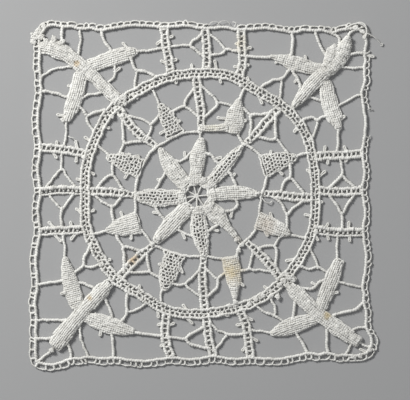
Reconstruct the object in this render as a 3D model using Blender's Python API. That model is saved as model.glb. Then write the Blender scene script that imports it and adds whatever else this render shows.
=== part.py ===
"""A square of needle lace lying flat: an edging, a round braid, an eight-petalled star and four corner flowers.

The lace is one worked piece of linen thread, so it is one solid, and every opening between its bars is cut through.
Tables are in millimetres, seen from above, with the middle of the star at zero. The model is in metres, +Z up.
"""

from collections import defaultdict
from math import cos, radians, sin

import bmesh
import bpy
from mathutils import Vector
from mathutils.geometry import delaunay_2d_cdt

MM = 0.001
WELD = 0.02  # points this close become one
STRAIGHT = 0.06  # a rim's point this close to the line past it is left out
LEAST_OPENING = 6.0  # smaller openings, in square mm, stay closed
RIM_SLACK = 1.05  # a place this many half widths from a strip's middle is still on its rim

# Widths of the worked threads
BAR_WIDTH = 1.4
PICOT_WIDTH = 1.2
STRAP_WIDTH = 2.6
BRAID_WIDTH = 4.1
LADDER_WIDTH = 3.8
EDGE_INSIDE = 0.75  # from the edging's thick bar to its inner rim
BAR_REACH = 0.6  # how far a bar's end runs into what it is tied to

# Heights above the surface. Cloth and flowers have one at their rim and one along their middle.
BAR_TOP = 1.0
BAND_TOP = 1.2
CLOTH_RIM, CLOTH_CROWN = 1.1, 1.6
FLOWER_RIM, FLOWER_CROWN = 1.3, 2.2
EYE_TOP = 1.0

# The round braid's middle line: its distance from the star's middle, every 15 degrees from +X
BRAID_STEP = 15
BRAID_RADII = (
    45.6, 46.4, 48.4, 48.1, 47.2, 48.3, 47.6, 47.7, 46.9, 47.0, 45.2, 44.2,
    43.1, 44.1, 43.9, 44.5, 43.4, 45.0, 45.0, 45.0, 45.6, 46.0, 46.2, 46.4,
)

# The edging's thick bar is pulled in where something is tied to it, and bows out between. A row for each side,
# clockwise: how far it bows, as a share of each span; how far its loops stand out; the points where it is tied.
EDGE_SIDES = (
    ("top", 0.050, 1.6, ((-57.5, 65.9), (-51.9, 65.7), (-45.2, 64.8), (-36.8, 64.3), (-12.6, 65.4), (3.0, 64.9),
                    (16.8, 64.4), (36.5, 63.5), (45.2, 64.1), (52.0, 63.3))),
    ("right", 0.060, 1.6, ((61.0, 64.9), (64.6, 62.8), (64.5, 55.5), (64.3, 49.8), (63.4, 39.3), (63.6, 17.0),
                      (63.5, 2.5), (63.9, -13.4), (63.7, -34.6), (64.1, -40.3), (65.0, -50.2))),
    ("bottom", 0.057, 2.2, ((67.2, -55.6), (65.2, -60.0), (57.0, -60.9), (50.3, -60.1), (42.5, -60.2), (20.5, -61.9),
                       (6.4, -61.3), (-10.0, -61.9), (-32.2, -61.9), (-41.8, -61.5), (-48.5, -62.2))),
    ("left", 0.055, 2.2, ((-57.0, -64.5), (-61.6, -63.2), (-62.0, -54.4), (-61.8, -47.4), (-61.5, -33.6), (-60.5, -13.4),
                     (-60.4, 2.0), (-60.4, 19.0), (-60.0, 40.6), (-60.2, 46.4), (-60.5, 55.4), (-60.6, 61.5))),
)

# Ladder braids: the points that each one's middle line passes, from the round braid outwards or inwards
LADDERS = {
    "top_left": ((-10.2, 48.5), (-11.1, 54.0), (-12.0, 58.0), (-12.7, 65.0)),
    "top_middle": ((3.6, 49.5), (3.8, 54.0), (3.6, 58.5), (3.0, 64.8)),
    "top_right": ((16.2, 46.5), (17.5, 51.5), (17.2, 57.5), (17.0, 64.2)),
    "right_upper": ((45.0, 15.4), (50.5, 16.0), (57.0, 16.1), (63.5, 16.8)),
    "right_middle": ((46.5, 2.5), (53.0, 2.0), (58.5, 2.1), (63.4, 2.6)),
    "right_lower": ((45.0, -12.2), (50.0, -13.2), (56.0, -13.6), (63.8, -13.4)),
    "bottom_right": ((16.0, -43.0), (18.7, -48.5), (19.7, -55.0), (20.5, -61.8)),
    "bottom_middle": ((3.4, -45.5), (3.9, -50.0), (4.6, -55.5), (6.3, -61.2)),
    "bottom_left": ((-11.6, -44.5), (-12.4, -51.0), (-11.9, -56.0), (-10.1, -61.8)),
    "left_lower": ((-43.5, -12.3), (-49.0, -12.8), (-54.5, -13.0), (-60.5, -13.4)),
    "left_middle": ((-44.0, 2.2), (-48.5, 2.7), (-53.5, 2.8), (-60.3, 2.0)),
    "left_upper": ((-42.0, 16.2), (-47.5, 17.6), (-54.0, 18.5), (-60.3, 19.0)),
    "spoke_n": ((-0.3, 46.5), (0.3, 40.5), (1.5, 33.0), (1.3, 25.2)),
    "spoke_ne": ((31.5, 34.3), (26.9, 29.4), (22.3, 24.0), (18.6, 20.6)),
    "spoke_e": ((44.5, -0.3), (38.0, 0.0), (31.5, 0.8), (25.2, 1.4)),
    "spoke_se": ((32.0, -31.2), (28.0, -26.2), (23.8, -21.6), (19.0, -17.2)),
    "spoke_s": ((3.0, -44.0), (2.5, -38.0), (2.0, -30.5), (2.5, -23.2)),
    "spoke_sw": ((-29.8, -31.0), (-25.7, -26.3), (-21.5, -22.2), (-17.0, -18.5)),
    "spoke_w": ((-42.5, 2.1), (-36.0, 2.1), (-30.5, 1.6), (-24.2, 0.8)),
    "spoke_nw": ((-31.2, 35.3), (-26.7, 29.0), (-21.8, 23.8), (-15.6, 19.6)),
}
SPOKE_END_WIDTH = 2.4  # a spoke narrows to this at the star's end

# Leaves: the points of the middle line, and the width at each quarter of the way along it
STAR_PETALS = {
    "petal_n": (((-0.6, 6.0), (0.2, 14.5), (1.7, 22.2)), (5.0, 4.7, 6.1, 5.4, 2.6)),
    "petal_ne": (((5.2, 5.4), (11.0, 12.3), (17.3, 19.6)), (3.8, 5.0, 5.2, 4.0, 1.2)),
    "petal_e": (((6.0, 1.0), (15.0, 1.6), (24.4, 1.2)), (4.6, 5.2, 5.4, 4.2, 1.2)),
    "petal_se": (((4.6, -4.0), (9.9, -9.0), (17.2, -16.6)), (5.4, 6.0, 4.7, 3.2, 1.8)),
    "petal_s": (((0.4, -5.2), (0.9, -13.3), (2.9, -22.2)), (5.0, 6.4, 6.7, 5.2, 2.6)),
    "petal_sw": (((-4.4, -4.6), (-10.3, -10.6), (-17.0, -18.6)), (5.6, 6.4, 6.6, 5.2, 2.2)),
    "petal_w": (((-6.0, 0.0), (-14.5, -0.3), (-23.6, 0.3)), (5.2, 6.0, 6.8, 6.0, 2.8)),
    "petal_nw": (((-4.8, 5.0), (-9.7, 11.0), (-14.3, 18.4)), (5.6, 6.6, 7.0, 5.2, 1.6)),
}
BELLS = {
    "bell_nnw": (((-14.0, 35.2), (-11.1, 29.6), (-8.3, 23.8)), (2.6, 5.0, 6.0, 6.2, 7.6)),
    "bell_nne": (((16.4, 38.0), (14.8, 32.0), (12.4, 25.6)), (1.2, 4.4, 6.6, 7.8, 7.6)),
    "bell_ene": (((38.2, 15.6), (31.6, 13.8), (25.2, 11.8)), (1.8, 5.0, 6.8, 8.0, 9.0)),
    "bell_ese": (((35.6, -14.2), (29.5, -11.5), (23.3, -8.9)), (1.8, 5.2, 6.2, 6.5, 6.5)),
    "bell_sse": (((14.5, -39.0), (14.0, -31.0), (12.6, -23.3)), (1.6, 3.9, 6.0, 6.5, 6.6)),
    "bell_ssw": (((-12.8, -35.2), (-10.9, -29.0), (-8.6, -21.7)), (3.2, 5.9, 6.9, 7.2, 8.6)),
    "bell_wsw": (((-34.6, -12.9), (-28.5, -11.3), (-22.5, -9.8)), (2.0, 5.4, 7.3, 8.0, 8.6)),
    "bell_wnw": (((-34.3, 15.4), (-27.9, 13.3), (-21.6, 10.7)), (2.2, 4.8, 7.2, 7.4, 7.6)),
}
SIDE_LEAVES = {
    "top_left_right": (((-41.5, 50.3), (-32.5, 53.5), (-23.8, 56.1)), (5.0, 5.3, 6.1, 5.8, 3.0)),
    "top_left_lower": (((-44.6, 47.5), (-46.9, 38.6), (-50.4, 29.0)), (5.0, 5.7, 5.9, 5.3, 1.8)),
    "top_right_left": (((47.5, 48.8), (38.3, 51.2), (28.5, 54.2)), (4.6, 5.0, 5.9, 4.2, 1.2)),
    "top_right_lower": (((49.3, 44.5), (51.2, 35.3), (54.5, 26.4)), (4.2, 6.0, 6.4, 6.1, 2.2)),
    "bottom_left_upper": (((-46.0, -42.5), (-48.8, -33.0), (-51.0, -23.5)), (4.6, 6.4, 6.1, 4.9, 1.8)),
    "bottom_left_right": (((-43.0, -46.2), (-33.8, -49.3), (-24.4, -51.9)), (3.8, 5.9, 6.6, 5.2, 2.0)),
    "bottom_right_upper": (((47.6, -42.3), (51.2, -33.2), (54.6, -24.4)), (4.2, 4.9, 5.1, 5.0, 3.0)),
    "bottom_right_left": (((45.5, -46.8), (37.0, -49.4), (28.6, -52.6)), (4.0, 5.6, 6.5, 5.4, 1.9)),
}
DIAGONAL_LEAVES = {
    "top_left_outer": (((-42.5, 48.5), (-51.3, 55.5), (-60.2, 58.9)), (6.0, 5.4, 5.4, 5.0, 3.2)),
    "top_left_inner": (((-43.5, 49.5), (-37.0, 43.5), (-30.8, 37.6)), (5.8, 4.7, 4.6, 5.0, 5.0)),
    "top_right_inner": (((48.5, 47.5), (42.8, 41.8), (37.0, 34.8)), (5.6, 5.3, 5.0, 4.2, 1.8)),
    "top_right_outer": (((48.0, 47.0), (54.2, 54.0), (58.2, 61.4)), (5.6, 6.0, 7.8, 6.2, 1.8)),
    "top_right_lobe": (((51.6, 53.6), (52.2, 56.6), (53.2, 59.2)), (2.6, 3.4, 3.4, 3.0, 1.8)),
    "bottom_left_inner": (((-45.0, -45.0), (-39.2, -38.7), (-33.6, -32.8)), (5.4, 5.0, 5.7, 5.6, 3.2)),
    "bottom_left_outer": (((-44.2, -44.2), (-50.5, -51.5), (-56.2, -59.2)), (5.6, 5.6, 6.6, 6.2, 2.2)),
    "bottom_right_inner": (((46.5, -45.0), (41.2, -39.8), (35.4, -34.0)), (5.4, 5.0, 5.0, 5.2, 2.8)),
    "bottom_right_outer": (((46.0, -44.5), (54.0, -50.2), (62.2, -56.2)), (5.4, 5.2, 5.8, 5.2, 4.0)),
}

# Bars: the points that each one passes. A bar's two ends are tied to whatever they meet.
BARS = {
    "octagon": (
        ((-15.4, 19.4), (-11.6, 21.6), (-5.0, 24.7), (1.2, 24.9)),
        ((17.6, 20.4), (16.2, 23.2), (15.4, 25.2)),
        ((18.2, 20.2), (21.2, 18.7), (24.6, 15.8)),
        ((26.7, 7.6), (26.1, 4.6), (25.0, 1.6)),
        ((24.7, 1.0), (24.3, -2.8), (23.8, -6.2)),
        ((22.9, -11.6), (21.0, -14.6), (18.7, -16.9)),
        ((18.4, -17.1), (16.4, -18.7), (15.2, -22.9)),
        ((9.4, -23.8), (6.0, -23.2), (2.6, -22.6)),
        ((2.6, -22.6), (-3.0, -22.8), (-10.0, -21.2), (-17.0, -18.4)),
        ((-17.2, -18.2), (-19.6, -15.0), (-21.0, -13.0)),
        ((-23.9, -6.4), (-23.7, -3.0), (-23.8, 0.6)),
        ((-23.8, 0.6), (-23.5, 4.5), (-22.8, 8.0)),
        ((-20.2, 13.6), (-18.2, 16.8), (-15.8, 19.2)),
        ((0.9, 25.2), (1.2, 23.4), (1.6, 21.6)),
    ),
    "braid_to_bells": (
        ((-14.4, 34.8), (-15.4, 37.6), (-16.8, 40.6)),
        ((16.4, 37.4), (16.9, 39.2), (17.9, 41.2)),
        ((37.6, 15.8), (40.2, 16.4), (42.8, 17.0)),
        ((35.2, -14.4), (38.2, -15.1), (41.2, -15.5)),
        ((14.5, -38.4), (14.7, -40.2), (14.9, -41.6)),
        ((-13.2, -34.8), (-13.8, -37.0), (-14.0, -39.6)),
        ((-34.2, -13.0), (-37.0, -13.6), (-40.6, -14.3)),
        ((-33.9, 15.9), (-36.0, 18.0), (-38.6, 20.2)),
    ),
    "star_links": (
        ((-9.4, 14.4), (-6.6, 13.8), (-4.4, 15.0), (-2.4, 17.2)),
        ((3.4, 17.0), (5.4, 16.0), (7.2, 13.8), (9.4, 12.6)),
        ((11.8, 10.2), (13.4, 7.8), (15.1, 4.0)),
        ((14.9, -0.8), (15.5, -2.8), (13.8, -4.9), (10.4, -5.7)),
        ((9.4, -10.0), (6.4, -11.7), (4.0, -13.5)),
        ((-1.6, -15.0), (-3.8, -14.5), (-7.5, -12.6)),
        ((-12.6, -8.7), (-14.6, -6.4), (-16.5, -3.4)),
        ((-15.8, 3.0), (-14.5, 5.6), (-12.2, 9.4)),
    ),
    "spoke_braces": (
        ((-1.5, 41.4), (-3.6, 38.6), (-4.8, 35.0), (-2.4, 33.4), (0.4, 30.8)),
        ((1.8, 42.4), (5.0, 39.8), (7.7, 36.3), (6.4, 33.8), (3.2, 31.2)),
        ((20.3, 23.4), (20.7, 28.0), (20.8, 31.4), (25.0, 31.9), (29.4, 32.6)),
        ((30.0, 32.0), (30.1, 27.0), (30.0, 22.5), (26.8, 22.3), (23.8, 23.3)),
        ((32.4, 2.2), (33.4, 5.6), (35.8, 7.3), (38.2, 5.0), (40.8, 1.8)),
        ((29.6, -0.4), (32.4, -2.4), (34.5, -6.6), (37.0, -4.2), (41.0, -1.4)),
        ((23.6, -19.8), (26.6, -18.9), (29.8, -18.9), (30.5, -22.4), (30.2, -27.0)),
        ((21.4, -21.0), (20.8, -24.2), (20.3, -27.6), (24.4, -28.1), (29.4, -28.9)),
        ((3.4, -27.6), (5.8, -30.0), (7.8, -31.8), (7.4, -35.0), (3.8, -38.5)),
        ((0.8, -28.0), (-1.8, -31.0), (-4.5, -33.5), (-2.4, -35.6), (1.0, -38.2)),
        ((-26.4, -28.9), (-22.4, -29.0), (-18.6, -28.6), (-18.9, -25.6), (-19.4, -21.8)),
        ((-28.2, -28.6), (-28.1, -23.6), (-28.2, -19.2), (-25.0, -19.8), (-21.4, -20.8)),
        ((-39.0, 0.4), (-36.4, -1.8), (-32.8, -3.6), (-30.8, -2.0), (-28.8, 0.6)),
        ((-38.6, 3.2), (-35.8, 6.8), (-32.5, 8.4), (-30.8, 6.2), (-28.4, 2.6)),
        ((-22.0, 21.4), (-25.2, 21.1), (-28.2, 21.2), (-28.6, 26.0), (-28.7, 31.6)),
        ((-26.2, 31.2), (-22.2, 30.2), (-17.8, 27.9), (-18.2, 25.2), (-19.6, 22.2)),
    ),
    "brace_links": (
        ((-4.8, 35.0), (-7.2, 34.2), (-10.2, 32.6)),
        ((7.7, 36.3), (10.4, 36.0), (14.0, 34.8)),
        ((20.8, 31.4), (19.4, 32.6), (17.2, 34.6)),
        ((30.0, 22.5), (32.4, 20.2), (35.0, 16.6)),
        ((35.8, 7.3), (35.9, 10.0), (35.8, 13.4)),
        ((34.5, -6.6), (34.6, -9.0), (34.4, -12.4)),
        ((29.8, -18.9), (30.7, -17.2), (32.4, -14.8)),
        ((20.3, -27.6), (18.6, -28.1), (16.0, -28.6)),
        ((7.8, -31.8), (9.0, -30.4), (11.2, -29.0)),
        ((-4.5, -33.5), (-6.8, -33.8), (-9.8, -33.4)),
        ((-18.6, -28.6), (-16.8, -29.8), (-14.0, -31.2)),
        ((-28.2, -19.2), (-29.8, -17.2), (-31.8, -13.8)),
        ((-32.8, -3.6), (-32.8, -6.2), (-32.0, -10.2)),
        ((-32.5, 8.4), (-32.6, 10.6), (-32.4, 14.0)),
        ((-28.2, 21.2), (-28.8, 19.2), (-29.8, 16.6)),
        ((-17.8, 27.9), (-15.6, 30.2), (-14.2, 32.4)),
    ),
    "edge_braces": (
        ((1.8, 62.4), (-0.8, 60.6), (-2.7, 58.6), (-0.8, 56.8), (2.4, 54.0)),
        ((4.4, 63.2), (7.6, 60.4), (10.6, 57.0), (9.2, 55.2), (5.0, 54.7)),
        ((50.8, 3.4), (53.2, 5.8), (55.7, 8.0), (58.0, 6.0), (61.2, 3.4)),
        ((51.0, 0.6), (53.4, -2.8), (55.6, -6.2), (57.6, -3.4), (60.2, 0.8)),
        ((5.2, -48.6), (8.0, -51.3), (11.2, -52.7), (9.8, -55.3), (6.4, -59.2)),
        ((2.6, -50.0), (-0.8, -51.9), (-4.3, -54.4), (-1.6, -56.9), (4.6, -58.2)),
        ((-56.4, 0.2), (-54.6, -2.4), (-52.1, -4.4), (-50.0, -2.2), (-47.6, 1.2)),
        ((-58.2, 3.6), (-55.4, 7.2), (-52.1, 10.7), (-49.8, 7.4), (-46.2, 3.4)),
    ),
    "edge_brace_links": (
        ((-2.7, 58.6), (-6.0, 58.3), (-11.0, 57.9)),
        ((10.6, 57.0), (13.0, 56.6), (16.4, 55.9)),
        ((55.7, 8.0), (55.8, 11.0), (54.8, 15.0)),
        ((55.6, -6.2), (55.9, -8.8), (55.7, -12.4)),
        ((11.2, -52.7), (14.4, -53.0), (18.8, -52.5)),
        ((-4.3, -54.4), (-7.2, -54.4), (-11.6, -53.6)),
        ((-52.1, -4.4), (-52.4, -7.4), (-52.2, -11.8)),
        ((-52.1, 10.7), (-52.3, 13.4), (-52.0, 17.2)),
    ),
    "top_left_corner": (
        ((-51.7, 65.6), (-52.2, 62.6), (-51.5, 58.6)),
        ((-45.2, 64.8), (-44.9, 60.4), (-45.8, 54.8)),
        ((-36.8, 64.2), (-36.1, 60.8), (-32.8, 56.0)),
        ((-60.4, 55.5), (-57.0, 55.3), (-53.2, 55.6)),
        ((-60.0, 46.2), (-55.0, 49.2), (-47.2, 50.3)),
        ((-59.9, 40.7), (-55.4, 40.2), (-49.2, 38.1)),
        ((-44.4, 38.0), (-41.6, 39.3), (-36.6, 40.1)),
        ((-31.9, 51.4), (-31.7, 46.8), (-34.6, 43.9)),
        ((-25.6, 53.6), (-24.6, 50.8), (-23.2, 48.7), (-19.6, 48.2), (-15.6, 46.2)),
        ((-23.2, 48.7), (-23.8, 45.0), (-24.1, 42.0)),
        ((-23.8, 56.1), (-18.4, 56.4), (-13.0, 57.4)),
        ((-46.2, 35.6), (-43.9, 33.4), (-42.4, 31.4), (-40.0, 32.3), (-35.8, 33.5)),
        ((-42.4, 31.4), (-42.0, 28.4), (-39.6, 25.0)),
        ((-50.4, 29.4), (-50.4, 25.0), (-51.1, 20.0)),
    ),
    "top_right_corner": (
        ((36.4, 63.4), (36.8, 60.0), (36.1, 54.0)),
        ((45.3, 63.8), (47.2, 58.6), (50.6, 52.4)),
        ((51.8, 63.0), (54.6, 61.2), (54.5, 57.6)),
        ((61.8, 64.4), (59.0, 63.4), (58.0, 60.8)),
        ((64.4, 55.5), (61.4, 55.3), (58.0, 55.0)),
        ((64.3, 49.8), (59.0, 49.7), (53.4, 50.4)),
        ((63.4, 39.2), (60.8, 38.7), (54.0, 34.8)),
        ((36.0, 49.8), (34.2, 47.2), (32.3, 45.5), (28.8, 44.8), (25.0, 42.6)),
        ((32.3, 45.5), (32.3, 41.6), (31.6, 36.6)),
        ((36.0, 49.2), (38.7, 45.4), (40.2, 41.0)),
        ((50.2, 31.4), (48.0, 30.7), (46.3, 29.7), (43.6, 30.7), (40.4, 29.4)),
        ((46.3, 29.7), (45.6, 25.6), (43.2, 21.6)),
        ((42.0, 38.8), (45.0, 37.9), (48.8, 36.8)),
        ((29.2, 54.0), (24.0, 53.8), (18.6, 54.3)),
        ((54.4, 27.0), (54.2, 22.0), (53.9, 17.2)),
    ),
    "bottom_right_corner": (
        ((63.7, -34.6), (59.4, -33.9), (54.0, -32.4)),
        ((64.2, -40.2), (60.4, -43.5), (55.6, -44.4), (51.8, -46.0)),
        ((65.0, -50.2), (61.6, -50.4), (58.6, -51.6)),
        ((67.0, -57.2), (65.0, -57.4), (62.4, -55.6)),
        ((42.6, -60.2), (40.6, -56.4), (37.8, -51.8)),
        ((50.4, -60.2), (49.8, -55.6), (50.0, -50.6)),
        ((56.9, -61.0), (58.2, -58.6), (59.6, -56.0)),
        ((50.2, -31.2), (46.8, -33.0), (44.0, -35.3), (39.2, -34.8)),
        ((37.6, -39.6), (37.3, -43.2), (36.8, -47.2)),
        ((51.0, -29.4), (48.6, -28.0), (46.4, -27.0), (42.8, -27.6), (38.8, -26.4)),
        ((46.4, -27.0), (45.4, -23.8), (43.0, -19.2)),
        ((34.0, -48.6), (31.6, -46.8), (29.6, -45.5), (26.0, -44.3), (22.4, -41.6)),
        ((29.6, -45.5), (30.0, -42.6), (27.8, -38.4)),
        ((54.0, -24.6), (53.8, -20.0), (54.0, -14.6)),
        ((29.2, -52.4), (25.0, -51.7), (20.4, -51.2)),
    ),
    "bottom_left_corner": (
        ((-61.6, -33.7), (-57.0, -33.0), (-51.2, -32.2)),
        ((-61.8, -47.4), (-56.6, -47.3), (-50.4, -47.4)),
        ((-62.0, -54.4), (-58.6, -54.5), (-54.6, -54.0)),
        ((-61.6, -63.2), (-59.0, -61.5), (-55.6, -58.6)),
        ((-50.4, -55.4), (-48.9, -58.8), (-48.5, -62.2)),
        ((-45.2, -47.8), (-44.7, -54.6), (-41.9, -61.4)),
        ((-33.0, -52.2), (-32.4, -57.0), (-32.2, -61.8)),
        ((-46.6, -32.8), (-43.2, -33.4), (-39.2, -35.4)),
        ((-36.4, -37.8), (-34.1, -42.0), (-32.5, -47.0)),
        ((-47.6, -29.6), (-45.2, -27.6), (-43.7, -26.1), (-43.5, -23.6), (-40.9, -18.2)),
        ((-43.7, -26.1), (-41.0, -27.0), (-36.8, -25.6)),
        ((-29.8, -48.4), (-27.8, -46.2), (-27.0, -44.0), (-27.3, -41.0), (-26.8, -36.8)),
        ((-27.0, -44.0), (-24.0, -43.7), (-19.6, -40.9)),
        ((-51.0, -24.0), (-51.0, -19.4), (-51.8, -14.0)),
        ((-25.0, -52.0), (-20.0, -52.7), (-13.4, -53.5)),
    ),
}

# A wide strap from the top spoke to its bell
STRAP = ((1.6, 26.7), (6.0, 26.6), (10.5, 27.2))

# Picots, the small knotted loops that stand out from an edge: foot and tip
PICOTS = {
    "braid_outside": (
        ((-2.0, 49.0), (-2.0, 51.4)), ((7.4, 49.4), (6.8, 52.8)), ((19.9, 43.8), (19.3, 46.4)),
        ((-40.8, 21.2), (-43.4, 23.4)), ((-44.2, 6.6), (-46.8, 6.7)), ((-44.6, -6.2), (-46.8, -4.2)),
        ((-15.2, -43.4), (-14.8, -46.8)), ((-4.0, -46.6), (-1.4, -48.9)), ((8.6, -45.0), (12.6, -45.6)),
        ((46.6, 7.6), (49.6, 10.1)), ((45.6, -2.2), (48.5, -1.7)), ((45.0, -14.2), (46.8, -17.0)),
        ((30.8, -36.4), (31.4, -39.4)), ((36.4, -30.0), (38.2, -32.0)),
    ),
    "braid_inside": (
        ((-8.0, 46.0), (-8.0, 43.3)), ((8.6, 46.4), (9.1, 43.5)), ((-36.4, 27.2), (-33.3, 26.4)),
        ((-25.2, 39.6), (-22.6, 37.6)), ((38.8, 27.6), (37.4, 24.6)), ((23.6, 38.8), (25.1, 35.6)),
        ((-41.6, 10.0), (-39.3, 8.3)), ((-42.0, -6.0), (-39.2, -5.0)), ((-3.6, -44.0), (-5.5, -41.1)),
        ((-22.6, -36.8), (-22.0, -33.6)), ((-36.2, -24.2), (-33.4, -24.2)), ((44.2, 8.6), (42.0, 10.8)),
        ((43.6, -7.2), (41.0, -6.6)), ((38.8, -23.6), (33.8, -24.6)), ((28.6, -36.2), (25.4, -34.4)),
    ),
    "ladders": (
        ((-11.4, 61.2), (-8.9, 61.9)), ((-13.2, 60.8), (-15.9, 58.6)), ((-11.8, 51.4), (-14.2, 52.7)),
        ((-10.2, 51.8), (-7.6, 53.2)), ((16.0, 58.8), (14.4, 58.9)), ((18.2, 56.8), (21.1, 57.7)),
        ((17.0, 49.6), (13.8, 50.3)), ((18.0, 50.2), (20.2, 51.0)), ((48.8, 16.8), (49.4, 19.9)),
        ((57.5, 17.2), (56.5, 19.9)), ((50.4, 14.8), (50.2, 12.3)), ((58.0, 15.4), (57.0, 13.2)),
        ((49.4, -12.2), (50.6, -9.8)), ((58.3, -12.4), (58.3, -9.2)), ((50.0, -14.0), (50.8, -16.8)),
        ((58.6, -14.6), (58.6, -17.5)), ((-12.8, -48.4), (-15.6, -49.4)), ((-11.2, -49.5), (-8.4, -48.6)),
        ((-12.4, -56.0), (-14.3, -57.9)), ((17.8, -48.8), (14.8, -49.4)), ((19.4, -46.4), (21.6, -47.6)),
        ((18.8, -57.2), (17.2, -59.5)), ((20.8, -54.0), (23.6, -55.6)), ((-55.0, -11.8), (-57.4, -9.4)),
        ((-48.2, -11.6), (-48.9, -9.3)), ((-54.8, -14.6), (-52.2, -17.4)), ((-46.8, -14.2), (-48.9, -16.7)),
        ((-54.0, 19.6), (-54.0, 21.8)), ((-46.2, 18.8), (-47.0, 22.0)), ((-55.6, 17.4), (-54.0, 14.6)),
        ((-46.4, 16.0), (-46.5, 13.1)),
    ),
    "bells_and_star": (
        ((10.8, 30.2), (7.4, 30.4)), ((17.2, 28.4), (19.0, 30.0)), ((-8.4, 29.2), (-6.1, 29.3)),
        ((-12.0, 25.6), (-14.7, 24.2)), ((-25.4, 15.4), (-22.0, 15.9)), ((-26.6, 9.2), (-28.0, 6.8)),
        ((-28.6, -8.0), (-29.6, -5.4)), ((-25.4, -13.6), (-25.2, -16.6)), ((-12.4, -25.8), (-15.2, -25.8)),
        ((-6.8, -26.2), (-5.5, -29.6)), ((16.2, -32.6), (18.0, -34.6)), ((29.0, -8.4), (27.9, -5.8)),
        ((25.6, -12.6), (27.4, -15.4)), ((28.2, 16.0), (28.6, 18.2)), ((30.8, 10.6), (33.1, 8.3)),
        ((-4.6, 14.9), (-5.0, 17.7)), ((6.4, 14.6), (9.8, 15.1)), ((13.4, 7.8), (14.9, 9.2)),
        ((13.6, -5.0), (12.8, -8.1)), ((5.6, -12.3), (8.5, -13.3)), ((-5.8, -13.6), (-4.4, -16.4)),
        ((-14.8, -6.2), (-17.4, -5.8)), ((-14.4, 5.8), (-15.4, 7.2)),
    ),
    "corner_flowers": (
        ((-26.8, 57.4), (-29.0, 59.4)), ((-48.2, 42.4), (-50.2, 42.8)), ((-51.0, 31.2), (-54.2, 31.6)),
        ((-31.8, 48.0), (-29.4, 50.0)), ((41.8, 51.8), (41.8, 54.2)), ((31.2, 52.6), (29.9, 51.3)),
        ((55.2, 29.8), (57.1, 31.3)), ((38.6, 45.6), (37.3, 43.7)), ((-37.0, -51.0), (-37.3, -53.8)),
        ((-50.8, -37.4), (-52.8, -37.1)), ((51.8, -37.2), (54.6, -36.7)), ((45.6, -33.8), (43.7, -32.7)),
        ((55.6, -26.4), (56.4, -24.4)), ((54.4, 56.6), (54.6, 58.8)), ((65.4, -59.8), (62.2, -58.4)),
        ((64.6, 54.8), (68.4, 53.8)),
    ),
}

# The star's eye: a rim of cloth round a wheel of fine threads, whose narrow gaps stay closed
HUB_RADIUS, HUB_WIDTH = 5.4, 2.8
EYE_RADIUS = 3.7
EYE_FLOOR_END = 1.0
HUB_STEPS = 24

LINEN = (0.80, 0.78, 0.71, 1.0)
LINEN_ROUGHNESS = 0.9


class Strip:
    """A stretch of worked lace: cross lines from its left rim through its middle line to its right rim."""

    def __init__(self, middle, left, right, rim, crown, closed=False):
        """Takes the half widths left and right of each middle point, and the heights at rim and middle, in mm."""
        self.middle = [Vector(p) for p in middle]
        self.rim = rim
        self.crown = crown
        self.left = []
        self.right = []
        count = len(self.middle)
        self.spans = [(i, (i + 1) % count) for i in range(count if closed else count - 1)]
        for i, point in enumerate(self.middle):
            before = self.middle[i - 1] if i or closed else point
            after = self.middle[(i + 1) % count] if i < count - 1 or closed else point
            along = (after - before).normalized()
            side = Vector((-along.y, along.x))
            self.left.append(point + side * left[i])
            self.right.append(point - side * right[i])

    def height(self, place):
        """The strip's height over a place, or zero beside it."""
        best = 0.0
        for i, j in self.spans:
            start, step = self.middle[i], self.middle[j] - self.middle[i]
            share = min(1.0, max(0.0, (place - start).dot(step) / step.length_squared))
            offset = place - (start + step * share)
            rims = self.left if step.x * offset.y > step.y * offset.x else self.right
            first_half, last_half = (rims[i] - self.middle[i]).length, (rims[j] - self.middle[j]).length
            away = offset.length / (first_half + (last_half - first_half) * share)
            if away < RIM_SLACK:
                best = max(best, self.rim + (self.crown - self.rim) * max(0.0, 1.0 - away))
        return best


def curve_through(points, per_span, closed=False):
    """Points of a smooth curve that passes the given ones, with per_span steps between each two."""
    given = [Vector(p) for p in points]
    count = len(given)
    found = []
    for i in range(count if closed else count - 1):
        if closed:
            a, b, c, d = (given[(i + k) % count] for k in (-1, 0, 1, 2))
        else:
            b, c = given[i], given[i + 1]
            a = given[i - 1] if i else b * 2 - c
            d = given[i + 2] if i + 2 < count else c * 2 - b
        for step in range(per_span):
            t = step / per_span
            bend = (a * 2 - b * 5 + c * 4 - d) * t**2 + (b * 3 - a - c * 3 + d) * t**3
            found.append((b * 2 + (c - a) * t + bend) / 2)
    if not closed:
        found.append(given[-1])
    return found


def bar(points, width=BAR_WIDTH, reach=BAR_REACH):
    """A bar through the given points, whose ends run a little way into what they meet."""
    ends = [Vector(p) for p in points]
    first = ends[0] + (ends[0] - ends[1]).normalized() * reach
    last = ends[-1] + (ends[-1] - ends[-2]).normalized() * reach
    middle = curve_through([first, *ends[1:-1], last], 2 if len(points) > 2 else 1)
    halves = [width / 2] * len(middle)
    return Strip(middle, halves, halves, BAR_TOP, BAR_TOP)


def leaf(points, widths, rim, crown):
    """A petal, bell or leaf, whose curve has a station at each of the given widths."""
    middle = curve_through(points, 2)
    halves = [width / 2 for width in widths]
    return Strip(middle, halves, halves, rim, crown)


def ladder(name, points):
    """A ladder braid. A spoke of the round braid narrows towards the star."""
    middle = curve_through(points, 1)
    halves = [LADDER_WIDTH / 2] * len(middle)
    if name.startswith("spoke"):
        halves[-1] = SPOKE_END_WIDTH / 2
    return Strip(middle, halves, halves, BAND_TOP, BAND_TOP)


def circle(radius, count):
    """Even points round the star's middle, counter-clockwise."""
    turns = [radians(360 / count * i) for i in range(count)]
    return [Vector((radius * cos(turn), radius * sin(turn))) for turn in turns]


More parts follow.
